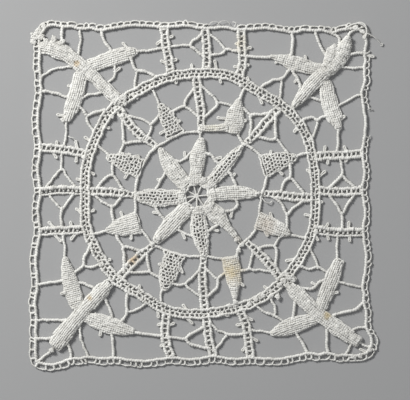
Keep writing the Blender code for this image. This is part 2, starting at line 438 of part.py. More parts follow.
def round_braid():
    """The wide braid round the star."""
    around = [turn * radius for turn, radius in zip(circle(1, 360 // BRAID_STEP), BRAID_RADII)]
    middle = curve_through(around, 2, closed=True)
    halves = [BRAID_WIDTH / 2] * len(middle)
    return Strip(middle, halves, halves, BAND_TOP, BAND_TOP, closed=True)


def edging():
    """The border: a thick bar that bows out between its ties, with a row of small loops outside it."""
    ties = [(Vector(p), bow, loops) for _, bow, loops, points in EDGE_SIDES for p in points]
    middle, outside = [], []
    for i, (tie, bow, loops) in enumerate(ties):
        span = ties[(i + 1) % len(ties)][0] - tie
        outwards = Vector((-span.y, span.x))
        middle += [tie, tie + span / 2 + outwards * bow]
        outside += [loops, loops]
    return Strip(middle, outside, [EDGE_INSIDE] * len(middle), BAND_TOP, BAND_TOP, closed=True)


def star_eye():
    """The rim of cloth round the star's eye, and the thin floor that stands for its wheel of threads."""
    rim_halves = [HUB_WIDTH / 2] * HUB_STEPS
    rim = Strip(circle(HUB_RADIUS, HUB_STEPS), rim_halves, rim_halves, CLOTH_CROWN, CLOTH_CROWN, closed=True)
    floor_halves = [EYE_FLOOR_END, HUB_RADIUS, EYE_FLOOR_END]
    floor = Strip([(-HUB_RADIUS, 0), (0, 0), (HUB_RADIUS, 0)], floor_halves, floor_halves, EYE_TOP, EYE_TOP)
    return [rim, floor]


def all_leaves():
    """The star's petals, the bells and the corner flowers' leaves."""
    strips = []
    for table in (STAR_PETALS, BELLS, SIDE_LEAVES):
        strips += [leaf(points, widths, CLOTH_RIM, CLOTH_CROWN) for points, widths in table.values()]
    strips += [leaf(points, widths, FLOWER_RIM, FLOWER_CROWN) for points, widths in DIAGONAL_LEAVES.values()]
    return strips


def all_bars():
    """The bars, braces, picots and braids, and the star's eye."""
    strips = [round_braid(), edging(), *star_eye(), bar(STRAP, STRAP_WIDTH)]
    strips += [ladder(name, points) for name, points in LADDERS.items()]
    for rows in BARS.values():
        strips += [bar(points) for points in rows]
    for rows in PICOTS.values():
        strips += [bar(points, PICOT_WIDTH, reach=0) for points in rows]
    return strips


def rims_of(strips):
    """The rims of all the strips together: one loop round the outside and one round each opening."""
    points, faces = [], []
    for strip in strips:
        first = len(points)
        for left, middle, right in zip(strip.left, strip.middle, strip.right):
            points += [left, middle, right]
        for i, j in strip.spans:
            a, b = first + 3 * i, first + 3 * j
            faces.append([a, a + 1, b + 1, b])
            faces.append([a + 1, a + 2, b + 2, b + 1])
    corners, _, triangles, _, _, covers = delaunay_2d_cdt(points, [], faces, 0, WELD, True)
    covered = [triangle for triangle, cover in zip(triangles, covers) if cover]
    edges = {pair for a, b, c in covered for pair in ((a, b), (b, c), (c, a))}
    onwards = defaultdict(list)
    for a, b in sorted(edges):
        if (b, a) not in edges:
            onwards[a].append(b)
    loops = []
    for start in list(onwards):
        while onwards[start]:
            loop = [start]
            while (here := onwards[loop[-1]].pop()) != start:
                loop.append(here)
            loops.append([corners[i] for i in loop])
    return loops


def area(loop):
    """The area inside a loop, positive where it runs counter-clockwise."""
    return sum(a.cross(b) for a, b in zip(loop, loop[1:] + loop[:1])) / 2


def straightened(loop):
    """The loop without the points that lie almost on the line past them."""
    kept = []
    for i, point in enumerate(loop):
        before = kept[-1] if kept else loop[-1]
        line = loop[(i + 1) % len(loop)] - before
        if abs(line.normalized().cross(point - before)) > STRAIGHT:
            kept.append(point)
    return kept


def plan_of(leaves, bars):
    """The lace seen from above, as points and triangles, with points along the leaves' ridges and round the eye."""
    loops = [straightened(loop) for loop in rims_of(leaves + bars) if abs(area(loop)) > LEAST_OPENING]
    points, edges, faces = [], [], []
    for loop in loops:
        ring = list(range(len(points), len(points) + len(loop)))
        faces.append(ring if area(loop) > 0 else ring[::-1])
        points += loop
    for strip in leaves:
        ridge = list(range(len(points), len(points) + len(strip.middle) - 1))
        edges += zip(ridge, ridge[1:])
        points += strip.middle[:-1]
    points += circle(EYE_RADIUS, HUB_STEPS // 2)
    points += circle(HUB_RADIUS - HUB_WIDTH / 2, HUB_STEPS // 2)
    corners, _, triangles, _, _, covers = delaunay_2d_cdt(points, edges, faces, 0, WELD, True)
    return corners, [triangle for triangle, cover in zip(triangles, covers) if len(cover) == 1]


def lace_mesh():
    """The closed solid: a flat underside, upright rims and a top that follows the crowns."""
    leaves, bars = all_leaves(), all_bars()
    corners, triangles = plan_of(leaves, bars)
    solid = bmesh.new()
    feet = [solid.verts.new((p.x * MM, p.y * MM, 0)) for p in corners]
    for triangle in triangles:
        solid.faces.new([feet[i] for i in triangle])
    loose = [v for v in feet if not v.link_faces]
    bmesh.ops.delete(solid, geom=loose, context="VERTS")
    raised = bmesh.ops.extrude_face_region(solid, geom=list(solid.faces), use_keep_orig=True)["geom"]
    for vert in (item for item in raised if isinstance(item, bmesh.types.BMVert)):
        place = Vector((vert.co.x, vert.co.y)) / MM
        vert.co.z = max(strip.height(place) for strip in leaves + bars) * MM
    bmesh.ops.recalc_face_normals(solid, faces=solid.faces)
    bmesh.ops.dissolve_limit(solid, angle_limit=radians(1), verts=solid.verts, edges=solid.edges)
    bmesh.ops.triangulate(solid, faces=solid.faces)
    mesh = bpy.data.meshes.new("lace_square")
    solid.to_mesh(mesh)
    solid.free()
    return mesh


def linen():
    """Undyed linen thread, aged to a warm white."""
    material = bpy.data.materials.new("linen_thread")
    material.use_nodes = True
    shader = material.node_tree.nodes["Principled BSDF"]
    shader.inputs["Base Color"].default_value = LINEN
    shader.inputs["Roughness"].default_value = LINEN_ROUGHNESS
    shader.inputs["Metallic"].default_value = 0.0
    return material


def main():
    """Clears the scene and builds the lace."""
    for old in list(bpy.data.objects):
        bpy.data.objects.remove(old)
    lace = bpy.data.objects.new("lace_square", lace_mesh())
    lace.data.materials.append(linen())
    bpy.context.scene.collection.objects.link(lace)


main()
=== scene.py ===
"""The finish of a needle lace square: every bar, braid, filling and picot, stitch by stitch, in linen thread.

Lengths in the tables and classes are in millimetres. The middle of the star is at zero, the right of the
square is along +X and its top along +Y, and the lace lies on the surface at height zero. Blender's own units
are metres.
"""

from __future__ import annotations

import logging
from dataclasses import dataclass, replace
from enum import Enum
from math import radians

import bmesh
import bpy
import numpy as np
from mathutils import Matrix, Vector

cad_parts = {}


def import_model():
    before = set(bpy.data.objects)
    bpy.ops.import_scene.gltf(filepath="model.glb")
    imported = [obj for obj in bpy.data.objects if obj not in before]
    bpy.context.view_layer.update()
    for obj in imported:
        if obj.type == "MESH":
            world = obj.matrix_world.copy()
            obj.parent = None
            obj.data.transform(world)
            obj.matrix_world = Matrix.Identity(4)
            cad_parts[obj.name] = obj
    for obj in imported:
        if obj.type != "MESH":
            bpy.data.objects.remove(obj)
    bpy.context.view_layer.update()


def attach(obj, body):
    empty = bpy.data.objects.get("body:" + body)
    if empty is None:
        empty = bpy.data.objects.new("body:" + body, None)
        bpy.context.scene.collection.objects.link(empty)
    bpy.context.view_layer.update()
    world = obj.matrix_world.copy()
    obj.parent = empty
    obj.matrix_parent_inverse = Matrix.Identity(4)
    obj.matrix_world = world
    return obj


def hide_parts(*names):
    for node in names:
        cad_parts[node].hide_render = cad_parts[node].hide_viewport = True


log = logging.getLogger("lace")

MM = 0.001
NODE = "lace_square"
SLOT = "linen_thread"
# The thread's material darkens its colour by this attribute, as painted shade in the grooves between
# stitches.
GROOVE = "groove"  # the attribute that says how deep in a groove a place is

Point = tuple[float, float]
Points = tuple[Point, ...]
Numbers = np.ndarray | float
Colour = tuple[float, float, float, float]


class Side(Enum):
    """A side of the square."""

    TOP = "top"
    RIGHT = "right"
    BOTTOM = "bottom"
    LEFT = "left"


class Filling(Enum):
    """How a petal, bell or leaf is worked."""

    CLOSE_ACROSS = "close rows from side to side"
    CLOSE_ALONG = "close rows from root to tip"
    OPEN_ACROSS = "a net with its rows from side to side"
    OPEN_ALONG = "a net with its rows from root to tip"

    @property
    def is_open(self) -> bool:
        """Whether the surface below shows through."""
        return self in (Filling.OPEN_ACROSS, Filling.OPEN_ALONG)

    @property
    def runs_along(self) -> bool:
        """Whether the rows run from root to tip."""
        return self in (Filling.CLOSE_ALONG, Filling.OPEN_ALONG)


@dataclass(frozen=True)
class Leaf:
    """A filled shape: its middle line, its width at each quarter of the way, and the height of its folds."""

    middle: Points
    widths: tuple[float, ...]
    filling: Filling = Filling.CLOSE_ALONG
    folds: float = 0.0


@dataclass(frozen=True)
class EdgeSide:
    """A side of the edging: its bow between ties, its loops' reach and roundness, and its ties, clockwise."""

    side: Side
    bow: float
    loops: float
    round: float
    ties: Points


@dataclass(frozen=True)
class Ladder:
    """A ladder braid: its middle line, its width at each end, and its holes' shift to the left and width."""

    middle: Points
    first_width: float = 3.8
    last_width: float = 3.8
    shift: float = 0.0
    hole: float = 0.85


@dataclass(frozen=True)
class Stain:
    """A spot where the thread has discoloured."""

    middle: Point
    radius: float
    colour: tuple[float, float, float]
    strength: float


# The round braid's middle line: its distance from the star's middle, in even steps from +X
BRAID_RADII = (
    45.6, 46.4, 48.2, 48.2, 46.9, 48.3, 47.6, 47.3, 46.6, 47.0, 45.2, 44.2,
    43.1, 44.1, 43.9, 44.5, 43.4, 45.0, 45.0, 45.0, 46.0, 46.0, 46.0, 46.2,
)

# The edging's sides, clockwise from the top left corner
EDGE_SIDES = (
    EdgeSide(Side.TOP, 0.050, 1.6, 0.38, (
        (-57.5, 65.9), (-51.9, 65.7), (-45.2, 64.8), (-36.8, 64.3), (-12.6, 65.4),
        (3.0, 64.9), (16.8, 64.4), (36.5, 63.5), (45.2, 64.1), (52.0, 63.3))),
    EdgeSide(Side.RIGHT, 0.060, 1.6, 0.40, (
        (61.0, 64.9), (64.6, 62.8), (64.5, 55.5), (64.3, 49.8), (63.4, 39.3), (63.6, 17.0),
        (63.5, 2.5), (63.9, -13.4), (63.7, -34.6), (64.1, -40.3), (65.0, -50.2))),
    EdgeSide(Side.BOTTOM, 0.057, 2.2, 0.35, (
        (67.2, -55.6), (65.2, -60.0), (57.0, -60.9), (50.3, -60.1), (42.5, -60.2), (20.5, -61.9),
        (6.4, -61.3), (-10.0, -61.9), (-32.2, -61.9), (-41.8, -61.5), (-48.5, -62.2))),
    EdgeSide(Side.LEFT, 0.055, 2.2, 0.25, (
        (-57.0, -64.5), (-61.6, -63.2), (-62.0, -54.4), (-61.8, -47.4), (-61.5, -33.6), (-60.5, -13.4),
        (-60.4, 2.0), (-60.4, 19.0), (-60.0, 40.6), (-60.2, 46.4), (-60.5, 55.4), (-60.6, 61.5))),
)

# Where the edging's loops are worn away: the side, and from where to where along it
WORN_LOOPS = (
    (Side.TOP, 4.6, 15.2),
    (Side.RIGHT, 56.4, 61.6),
    (Side.RIGHT, 22.6, 34.0),
)
WORN_SIDE = 60.0  # what lies further out than this belongs to the side

# Ladder braids, from the round braid outwards to the edging
LADDERS = (
    Ladder(((-10.2, 48.5), (-11.1, 54.0), (-12.0, 58.0), (-12.7, 65.0))),
    Ladder(((3.6, 49.5), (3.8, 54.0), (3.6, 58.5), (3.0, 64.8))),
    Ladder(((16.2, 46.5), (17.5, 51.5), (17.2, 57.5), (17.0, 64.2))),
    Ladder(((45.0, 15.4), (50.5, 16.0), (57.0, 16.1), (63.5, 16.8)), shift=0.1),
    Ladder(((46.5, 2.5), (53.0, 2.0), (58.5, 2.1), (63.4, 2.6))),
    Ladder(((45.0, -12.2), (50.0, -13.2), (56.0, -13.6), (63.8, -13.4)), shift=-0.35),
    Ladder(((16.0, -43.0), (18.7, -48.5), (19.7, -55.0), (20.5, -61.8))),
    Ladder(((3.4, -45.5), (3.9, -50.0), (4.6, -55.5), (6.3, -61.2))),
    Ladder(((-11.6, -44.5), (-12.4, -51.0), (-11.9, -56.0), (-10.1, -61.8))),
    Ladder(((-43.5, -12.3), (-49.0, -12.8), (-54.5, -13.0), (-60.5, -13.4)), shift=0.2),
    Ladder(((-44.0, 2.2), (-48.5, 2.7), (-53.5, 2.8), (-60.3, 2.0)), shift=0.4),
    Ladder(((-42.0, 16.2), (-47.5, 17.6), (-54.0, 18.5), (-60.3, 19.0))),
)

# Ladder braids, from the round braid inwards to the star: the middle line, and the width there
SPOKES = (
    (((-0.3, 46.5), (0.3, 40.5), (1.5, 33.0), (1.3, 25.2)), 2.6),
    (((31.5, 34.3), (26.9, 29.4), (22.3, 24.0), (18.6, 20.6)), 2.4),
    (((44.5, -0.3), (38.0, 0.0), (31.5, 0.8), (25.2, 1.4)), 2.4),
    (((32.0, -31.2), (28.0, -26.2), (23.8, -21.6), (19.0, -17.2)), 2.6),
    (((3.0, -44.0), (2.5, -38.0), (2.0, -30.5), (2.5, -23.2)), 2.6),
    (((-29.8, -31.0), (-25.7, -26.3), (-21.5, -22.2), (-17.0, -18.5)), 2.4),
    (((-42.5, 2.1), (-36.0, 2.1), (-30.5, 1.6), (-24.2, 0.8)), 2.4),
    (((-31.2, 35.3), (-26.7, 29.0), (-21.8, 23.8), (-15.6, 19.6)), 2.8),
)

STAR_PETALS = (
    Leaf(((-0.6, 6.0), (0.2, 14.5), (1.7, 22.2)), (5.0, 4.7, 6.1, 5.4, 2.6), Filling.CLOSE_ACROSS),
    Leaf(((5.2, 5.4), (11.0, 12.3), (17.3, 19.6)), (3.8, 4.8, 4.8, 3.9, 1.4), Filling.OPEN_ALONG),
    Leaf(((6.0, 1.0), (15.0, 1.6), (24.4, 1.2)), (4.6, 5.2, 5.4, 4.2, 1.2)),
    Leaf(((4.6, -4.0), (9.9, -9.4), (16.4, -17.0)), (5.2, 6.7, 3.7, 2.4, 1.6)),
    Leaf(((0.4, -5.2), (0.9, -13.3), (2.9, -22.2)), (5.0, 6.4, 6.7, 5.2, 2.6), Filling.OPEN_ALONG),
    Leaf(((-4.4, -4.6), (-9.8, -10.2), (-15.9, -16.9)), (5.6, 6.4, 6.5, 5.0, 3.0)),
    Leaf(((-6.0, 0.0), (-14.5, -0.3), (-23.6, 0.3)), (5.2, 6.0, 6.8, 6.0, 2.8), Filling.OPEN_ALONG),
    Leaf(((-4.8, 5.0), (-9.7, 11.0), (-14.3, 18.4)), (5.6, 6.2, 6.4, 4.8, 1.8)),
)

BELLS = (
    Leaf(((-14.0, 35.2), (-11.1, 29.6), (-8.3, 23.8)), (2.6, 5.0, 6.0, 6.2, 7.6), Filling.OPEN_ACROSS),
    Leaf(((16.4, 37.9), (14.7, 31.4), (14.1, 24.7)), (1.2, 4.6, 6.7, 7.4, 4.4), Filling.CLOSE_ACROSS),
    Leaf(((38.2, 15.6), (31.6, 13.8), (25.2, 11.8)), (1.8, 5.0, 6.8, 8.0, 9.0), Filling.OPEN_ACROSS),
    Leaf(((35.6, -14.2), (29.5, -11.5), (23.3, -8.9)), (1.8, 5.2, 6.2, 6.5, 6.5)),
    Leaf(((14.5, -39.0), (14.0, -31.0), (12.6, -23.3)), (1.6, 3.9, 6.0, 6.5, 6.6), Filling.CLOSE_ACROSS),
    Leaf(((-12.8, -35.2), (-10.9, -29.0), (-8.6, -21.7)), (3.2, 5.9, 6.9, 7.2, 8.6), Filling.OPEN_ACROSS),
    Leaf(((-34.6, -12.9), (-28.5, -11.3), (-22.5, -9.8)), (2.0, 5.4, 7.3, 8.0, 8.6)),
    Leaf(((-34.3, 15.4), (-27.9, 13.3), (-21.6, 10.7)), (2.2, 4.8, 7.2, 7.4, 7.6), Filling.OPEN_ACROSS),
)

# Each corner flower has two side leaves, and on top of them the two leaves of its diagonal band
SIDE_LEAVES = {
    "top_left": (
        Leaf(((-41.5, 50.3), (-32.5, 53.5), (-23.8, 56.1)), (5.0, 5.3, 6.1, 5.8, 3.0)),
        Leaf(((-44.6, 47.5), (-46.9, 38.6), (-50.4, 29.0)), (5.0, 5.7, 5.9, 5.3, 1.8)),
    ),
    "top_right": (
        Leaf(((47.5, 48.8), (38.3, 51.2), (28.5, 54.2)), (4.6, 5.0, 5.9, 4.2, 1.2)),
        Leaf(((49.3, 44.5), (51.2, 35.3), (54.5, 26.4)), (4.2, 6.0, 6.4, 6.1, 2.2)),
    ),
    "bottom_left": (
        Leaf(((-46.0, -42.5), (-48.8, -33.0), (-51.0, -23.5)), (4.6, 6.4, 6.1, 4.9, 1.8),
             Filling.CLOSE_ACROSS),
        Leaf(((-43.0, -46.2), (-33.8, -49.3), (-24.4, -51.9)), (3.8, 5.9, 6.6, 5.2, 2.0)),
    ),
    "bottom_right": (
        Leaf(((47.6, -42.3), (51.2, -33.2), (54.6, -24.4)), (4.4, 5.3, 5.7, 5.3, 3.2)),
        Leaf(((45.5, -46.8), (37.0, -49.4), (28.6, -52.6)), (4.0, 5.6, 6.5, 5.4, 1.9)),
    ),
}
DIAGONAL_LEAVES = {
    "top_left": (
        Leaf(((-42.5, 48.5), (-51.3, 55.5), (-60.2, 58.4)), (6.0, 5.4, 5.8, 6.6, 2.6)),
        Leaf(((-43.5, 49.5), (-37.0, 43.5), (-30.2, 37.0)), (5.8, 4.7, 4.6, 5.0, 4.8)),
    ),
    "top_right": (
        Leaf(((48.5, 47.5), (42.8, 41.8), (37.0, 34.8)), (5.6, 5.3, 5.0, 4.2, 1.8), folds=0.2),
        Leaf(((48.0, 47.0), (54.8, 53.8), (58.2, 61.4)), (5.6, 6.0, 6.4, 5.6, 2.2), Filling.CLOSE_ACROSS,
             folds=0.16),
        Leaf(((50.0, 50.6), (51.6, 54.6), (53.0, 57.8)), (3.0, 4.2, 4.8, 4.4, 2.6), Filling.CLOSE_ACROSS),
    ),
    "bottom_left": (
        Leaf(((-45.0, -45.0), (-39.2, -38.7), (-33.6, -32.8)), (5.4, 5.0, 5.7, 5.6, 3.2)),
        Leaf(((-44.2, -44.2), (-50.0, -51.0), (-54.9, -57.5)), (5.4, 5.4, 6.4, 6.8, 5.0)),
    ),
    "bottom_right": (
        Leaf(((46.5, -45.0), (41.2, -39.8), (35.4, -34.0)), (5.4, 5.5, 5.8, 5.8, 3.4)),
        Leaf(((46.0, -44.5), (54.0, -50.4), (62.2, -56.0)), (5.4, 5.4, 6.2, 5.4, 4.0)),
    ),
}

# Bars: the points that each one passes. A bar's two ends are tied to whatever they meet.
BARS = {
    "octagon": (
        ((-15.4, 19.4), (-11.6, 21.6), (-5.0, 24.7), (1.2, 24.9)),
        ((17.6, 20.4), (16.2, 23.2), (15.4, 25.2)),
        ((18.2, 20.2), (21.2, 18.7), (24.6, 15.8)),
        ((26.7, 7.6), (26.1, 4.6), (25.0, 1.6)),
        ((24.7, 1.0), (24.3, -2.8), (23.8, -6.2)),
        ((22.9, -11.6), (21.0, -14.6), (18.7, -16.9)),
        ((18.4, -17.1), (16.4, -18.7), (15.2, -22.9)),
        ((9.4, -23.8), (6.0, -23.2), (2.6, -22.6)),
        ((2.6, -22.6), (-3.0, -22.8), (-10.0, -21.2), (-17.0, -18.4)),
        ((-17.2, -18.2), (-19.6, -15.0), (-21.0, -13.0)),
        ((-23.9, -6.4), (-23.7, -3.0), (-23.8, 0.6)),
        ((-23.8, 0.6), (-23.5, 4.5), (-22.8, 8.0)),
        ((-20.2, 13.6), (-18.2, 16.8), (-15.8, 19.2)),
        ((0.9, 25.2), (1.2, 23.4), (1.6, 21.6)),
    ),
    "braid_to_bells": (
        ((-14.4, 34.8), (-15.4, 37.6), (-16.8, 40.6)),
        ((16.4, 37.4), (16.9, 39.2), (17.9, 41.2)),
        ((37.6, 15.8), (40.2, 16.4), (42.8, 17.0)),
        ((35.2, -14.4), (38.2, -15.1), (41.2, -15.5)),
        ((14.5, -38.4), (14.7, -40.2), (14.9, -41.6)),
        ((-13.2, -34.8), (-13.8, -37.0), (-14.0, -39.6)),
        ((-34.2, -13.0), (-37.0, -13.6), (-40.6, -14.3)),
        ((-33.9, 15.9), (-36.0, 18.0), (-38.6, 20.2)),
    ),
    "star_links": (
        ((-9.4, 14.4), (-6.6, 13.8), (-4.4, 15.0), (-2.4, 17.2)),
        ((3.4, 17.0), (5.4, 16.0), (7.2, 13.8), (9.4, 12.6)),
        ((11.8, 10.2), (13.4, 7.8), (15.1, 4.0)),
        ((14.9, -0.8), (15.5, -2.8), (13.8, -4.9), (10.4, -5.7)),
        ((9.4, -10.0), (6.4, -11.7), (4.0, -13.5)),
        ((-1.6, -15.0), (-3.8, -14.5), (-7.5, -12.6)),
        ((-12.6, -8.7), (-14.6, -6.4), (-16.5, -3.4)),
        ((-15.8, 3.0), (-14.5, 5.6), (-12.2, 9.4)),
    ),
    "spoke_braces": (
        ((-1.5, 41.4), (-3.6, 38.6), (-4.8, 35.0), (-2.4, 33.4), (0.4, 30.8)),
        ((1.8, 42.4), (5.0, 39.8), (7.7, 36.3), (6.4, 33.8), (3.2, 31.2)),
        ((20.3, 23.4), (20.7, 28.0), (20.8, 31.4), (25.0, 31.9), (29.4, 32.6)),
        ((30.0, 32.0), (30.1, 27.0), (30.0, 22.5), (26.8, 22.3), (23.8, 23.3)),
        ((32.4, 2.2), (33.4, 5.6), (35.8, 7.3), (38.2, 5.0), (40.8, 1.8)),
        ((29.6, -0.4), (32.4, -2.4), (34.5, -6.6), (37.0, -4.2), (41.0, -1.4)),
        ((23.6, -19.8), (26.6, -18.9), (29.8, -18.9), (30.5, -22.4), (30.2, -27.0)),
        ((21.4, -21.0), (20.8, -24.2), (20.3, -27.6), (24.4, -28.1), (29.4, -28.9)),
        ((3.4, -27.6), (5.8, -30.0), (7.8, -31.8), (7.4, -35.0), (3.8, -38.5)),
        ((0.8, -28.0), (-1.8, -31.0), (-4.5, -33.5), (-2.4, -35.6), (1.0, -38.2)),
        ((-26.4, -28.9), (-22.4, -29.0), (-18.6, -28.6), (-18.9, -25.6), (-19.4, -21.8)),
        ((-28.2, -28.6), (-28.1, -23.6), (-28.2, -19.2), (-25.0, -19.8), (-21.4, -20.8)),
        ((-39.0, 0.4), (-36.4, -1.8), (-32.8, -3.6), (-30.8, -2.0), (-28.8, 0.6)),
        ((-38.6, 3.2), (-35.8, 6.8), (-32.5, 8.4), (-30.8, 6.2), (-28.4, 2.6)),
        ((-22.0, 21.4), (-25.2, 21.1), (-28.2, 21.2), (-28.6, 26.0), (-28.7, 31.6)),
        ((-26.2, 31.2), (-22.2, 30.2), (-17.8, 27.9), (-18.2, 25.2), (-19.6, 22.2)),
    ),
    "brace_links": (
        ((-4.8, 35.0), (-7.2, 34.2), (-10.2, 32.6)),
        ((7.7, 36.3), (10.4, 36.0), (14.0, 34.8)),
        ((20.8, 31.4), (19.4, 32.6), (17.2, 34.6)),
        ((30.0, 22.5), (32.4, 20.2), (35.0, 16.6)),
        ((35.8, 7.3), (35.9, 10.0), (35.8, 13.4)),
        ((34.5, -6.6), (34.6, -9.0), (34.4, -12.4)),
        ((29.8, -18.9), (30.7, -17.2), (32.4, -14.8)),
        ((20.3, -27.6), (18.6, -28.1), (16.0, -28.6)),
        ((7.8, -31.8), (9.0, -30.4), (11.2, -29.0)),
        ((-4.5, -33.5), (-6.8, -33.8), (-9.8, -33.4)),
        ((-18.6, -28.6), (-16.8, -29.8), (-14.0, -31.2)),
        ((-28.2, -19.2), (-29.8, -17.2), (-31.8, -13.8)),
        ((-32.8, -3.6), (-32.8, -6.2), (-32.0, -10.2)),
        ((-32.5, 8.4), (-32.6, 10.6), (-32.4, 14.0)),
        ((-28.2, 21.2), (-28.8, 19.2), (-29.8, 16.6)),
        ((-17.8, 27.9), (-15.6, 30.2), (-14.2, 32.4)),
    ),
    "edge_braces": (
        ((1.8, 62.4), (-0.8, 60.6), (-2.7, 58.6), (-0.8, 56.8), (2.4, 54.0)),
        ((4.4, 63.2), (7.6, 60.4), (10.6, 57.0), (9.2, 55.2), (5.0, 54.7)),
        ((50.8, 3.4), (53.2, 5.8), (55.7, 8.0), (58.0, 6.0), (61.2, 3.4)),
        ((51.0, 0.6), (53.4, -2.8), (55.6, -6.2), (57.6, -3.4), (60.2, 0.8)),
        ((5.2, -48.6), (8.0, -51.3), (11.2, -52.7), (9.8, -55.3), (6.4, -59.2)),
        ((2.6, -50.0), (-0.8, -51.9), (-4.3, -54.4), (-1.6, -56.9), (4.6, -58.2)),
        ((-56.4, 0.2), (-54.6, -2.4), (-52.1, -4.4), (-50.0, -2.2), (-47.6, 1.2)),
        ((-58.2, 3.6), (-55.4, 7.2), (-52.1, 10.7), (-49.8, 7.4), (-46.2, 3.4)),
    ),
    "edge_brace_links": (
        ((-2.7, 58.6), (-6.0, 58.3), (-11.0, 57.9)),
        ((10.6, 57.0), (13.0, 56.6), (16.4, 55.9)),
        ((55.7, 8.0), (55.8, 11.0), (54.8, 15.0)),
        ((55.6, -6.2), (55.9, -8.8), (55.7, -12.4)),
        ((11.2, -52.7), (14.4, -53.0), (18.8, -52.5)),
        ((-4.3, -54.4), (-7.2, -54.4), (-11.6, -53.6)),
        ((-52.1, -4.4), (-52.4, -7.4), (-52.2, -11.8)),
        ((-52.1, 10.7), (-52.3, 13.4), (-52.0, 17.2)),
    ),
    "top_left_corner": (
        ((-51.7, 65.6), (-52.2, 62.6), (-51.5, 58.6)),
        ((-45.2, 64.8), (-44.9, 60.4), (-45.8, 54.8)),
        ((-36.8, 64.2), (-36.1, 60.8), (-32.8, 56.0)),
        ((-60.4, 55.5), (-57.0, 55.3), (-53.2, 55.6)),
        ((-60.0, 46.2), (-55.0, 49.2), (-47.2, 50.3)),
        ((-59.9, 40.7), (-55.4, 40.2), (-49.2, 38.1)),
        ((-44.4, 38.0), (-41.6, 39.3), (-36.6, 40.1)),
        ((-31.9, 51.4), (-31.7, 46.8), (-34.6, 43.9)),
        ((-25.6, 53.6), (-24.6, 50.8), (-23.2, 48.7), (-19.6, 48.2), (-15.6, 46.2)),
        ((-23.2, 48.7), (-23.8, 45.0), (-24.1, 42.0)),
        ((-23.8, 56.1), (-18.4, 56.4), (-13.0, 57.4)),
        ((-46.2, 35.6), (-43.9, 33.4), (-42.4, 31.4), (-40.0, 32.3), (-35.8, 33.5)),
        ((-42.4, 31.4), (-42.0, 28.4), (-39.6, 25.0)),
        ((-50.4, 29.4), (-50.4, 25.0), (-51.1, 20.0)),
    ),
    "top_right_corner": (
        ((36.4, 63.4), (36.8, 60.0), (36.1, 54.0)),
        ((45.3, 63.8), (47.2, 58.6), (50.6, 52.4)),
        ((51.8, 63.0), (54.6, 61.2), (54.5, 57.6)),
        ((61.8, 64.4), (59.0, 63.4), (58.0, 60.8)),
        ((64.4, 55.5), (61.4, 55.3), (58.0, 55.0)),
        ((64.3, 49.8), (59.0, 49.7), (53.4, 50.4)),
        ((63.4, 39.2), (60.8, 38.7), (54.0, 34.8)),
        ((36.0, 49.8), (34.2, 47.2), (32.3, 45.5), (28.8, 44.8), (25.0, 42.6)),
        ((32.3, 45.5), (32.3, 41.6), (31.6, 36.6)),
        ((36.0, 49.2), (38.7, 45.4), (40.2, 41.0)),
        ((50.2, 31.4), (48.0, 30.7), (46.3, 29.7), (43.6, 30.7), (40.4, 29.4)),
        ((46.3, 29.7), (45.6, 25.6), (43.2, 21.6)),
        ((42.0, 38.8), (45.0, 37.9), (48.8, 36.8)),
        ((29.2, 54.0), (24.0, 53.8), (18.6, 54.3)),
        ((54.4, 27.0), (54.2, 22.0), (53.9, 17.2)),
    ),
    "bottom_right_corner": (
        ((63.7, -34.6), (59.4, -33.9), (54.0, -32.4)),
        ((64.2, -40.2), (60.4, -43.5), (55.6, -44.4), (51.8, -46.0)),
        ((65.0, -50.2), (61.6, -50.4), (58.6, -51.6)),
        ((67.0, -57.2), (65.0, -57.4), (61.6, -55.2)),
        ((42.6, -60.2), (40.6, -56.4), (37.8, -51.8)),
        ((50.4, -60.2), (49.8, -55.6), (50.0, -50.6)),
        ((56.9, -61.0), (58.2, -58.6), (59.6, -56.0)),
        ((50.2, -31.2), (46.8, -33.0), (44.0, -35.3), (39.2, -34.8)),
        ((37.6, -39.6), (37.3, -43.2), (36.8, -47.2)),
        ((51.0, -29.4), (48.6, -28.0), (46.4, -27.0), (42.8, -27.6), (38.8, -26.4)),
        ((46.4, -27.0), (45.4, -23.8), (43.0, -19.2)),
        ((34.0, -48.6), (31.6, -46.8), (29.6, -45.5), (26.0, -44.3), (22.4, -41.6)),
        ((29.6, -45.5), (30.0, -42.6), (27.8, -38.4)),
        ((54.0, -24.6), (53.8, -20.0), (54.0, -14.6)),
        ((29.2, -52.4), (25.0, -51.7), (20.4, -51.2)),
    ),
    "bottom_left_corner": (
        ((-61.6, -33.7), (-57.0, -33.0), (-51.2, -32.2)),
        ((-61.8, -47.4), (-56.6, -47.3), (-50.4, -47.4)),
        ((-62.0, -54.4), (-58.6, -54.5), (-54.6, -54.0)),
        ((-61.6, -63.2), (-59.0, -61.5), (-55.6, -58.6)),
        ((-50.4, -55.4), (-48.9, -58.8), (-48.5, -62.2)),
        ((-45.2, -47.8), (-44.7, -54.6), (-41.9, -61.4)),
        ((-33.0, -52.2), (-32.4, -57.0), (-32.2, -61.8)),
        ((-46.6, -32.8), (-43.2, -33.4), (-39.2, -35.4)),
        ((-36.4, -37.8), (-34.1, -42.0), (-32.5, -47.0)),
        ((-47.6, -29.6), (-45.2, -27.6), (-43.7, -26.1), (-43.5, -23.6), (-40.9, -18.2)),
        ((-43.7, -26.1), (-41.0, -27.0), (-36.8, -25.6)),
        ((-29.8, -48.4), (-27.8, -46.2), (-27.0, -44.0), (-27.3, -41.0), (-26.8, -36.8)),
        ((-27.0, -44.0), (-24.0, -43.7), (-19.6, -40.9)),
        ((-51.0, -24.0), (-51.0, -19.4), (-51.8, -14.0)),
        ((-25.0, -52.0), (-20.0, -52.7), (-13.4, -53.5)),
    ),
}

# A wide strap from the top spoke to its bell
STRAP = Leaf(((1.6, 26.5), (6.0, 26.4), (12.0, 26.9)), (2.6, 2.2, 2.3, 2.9, 4.2))

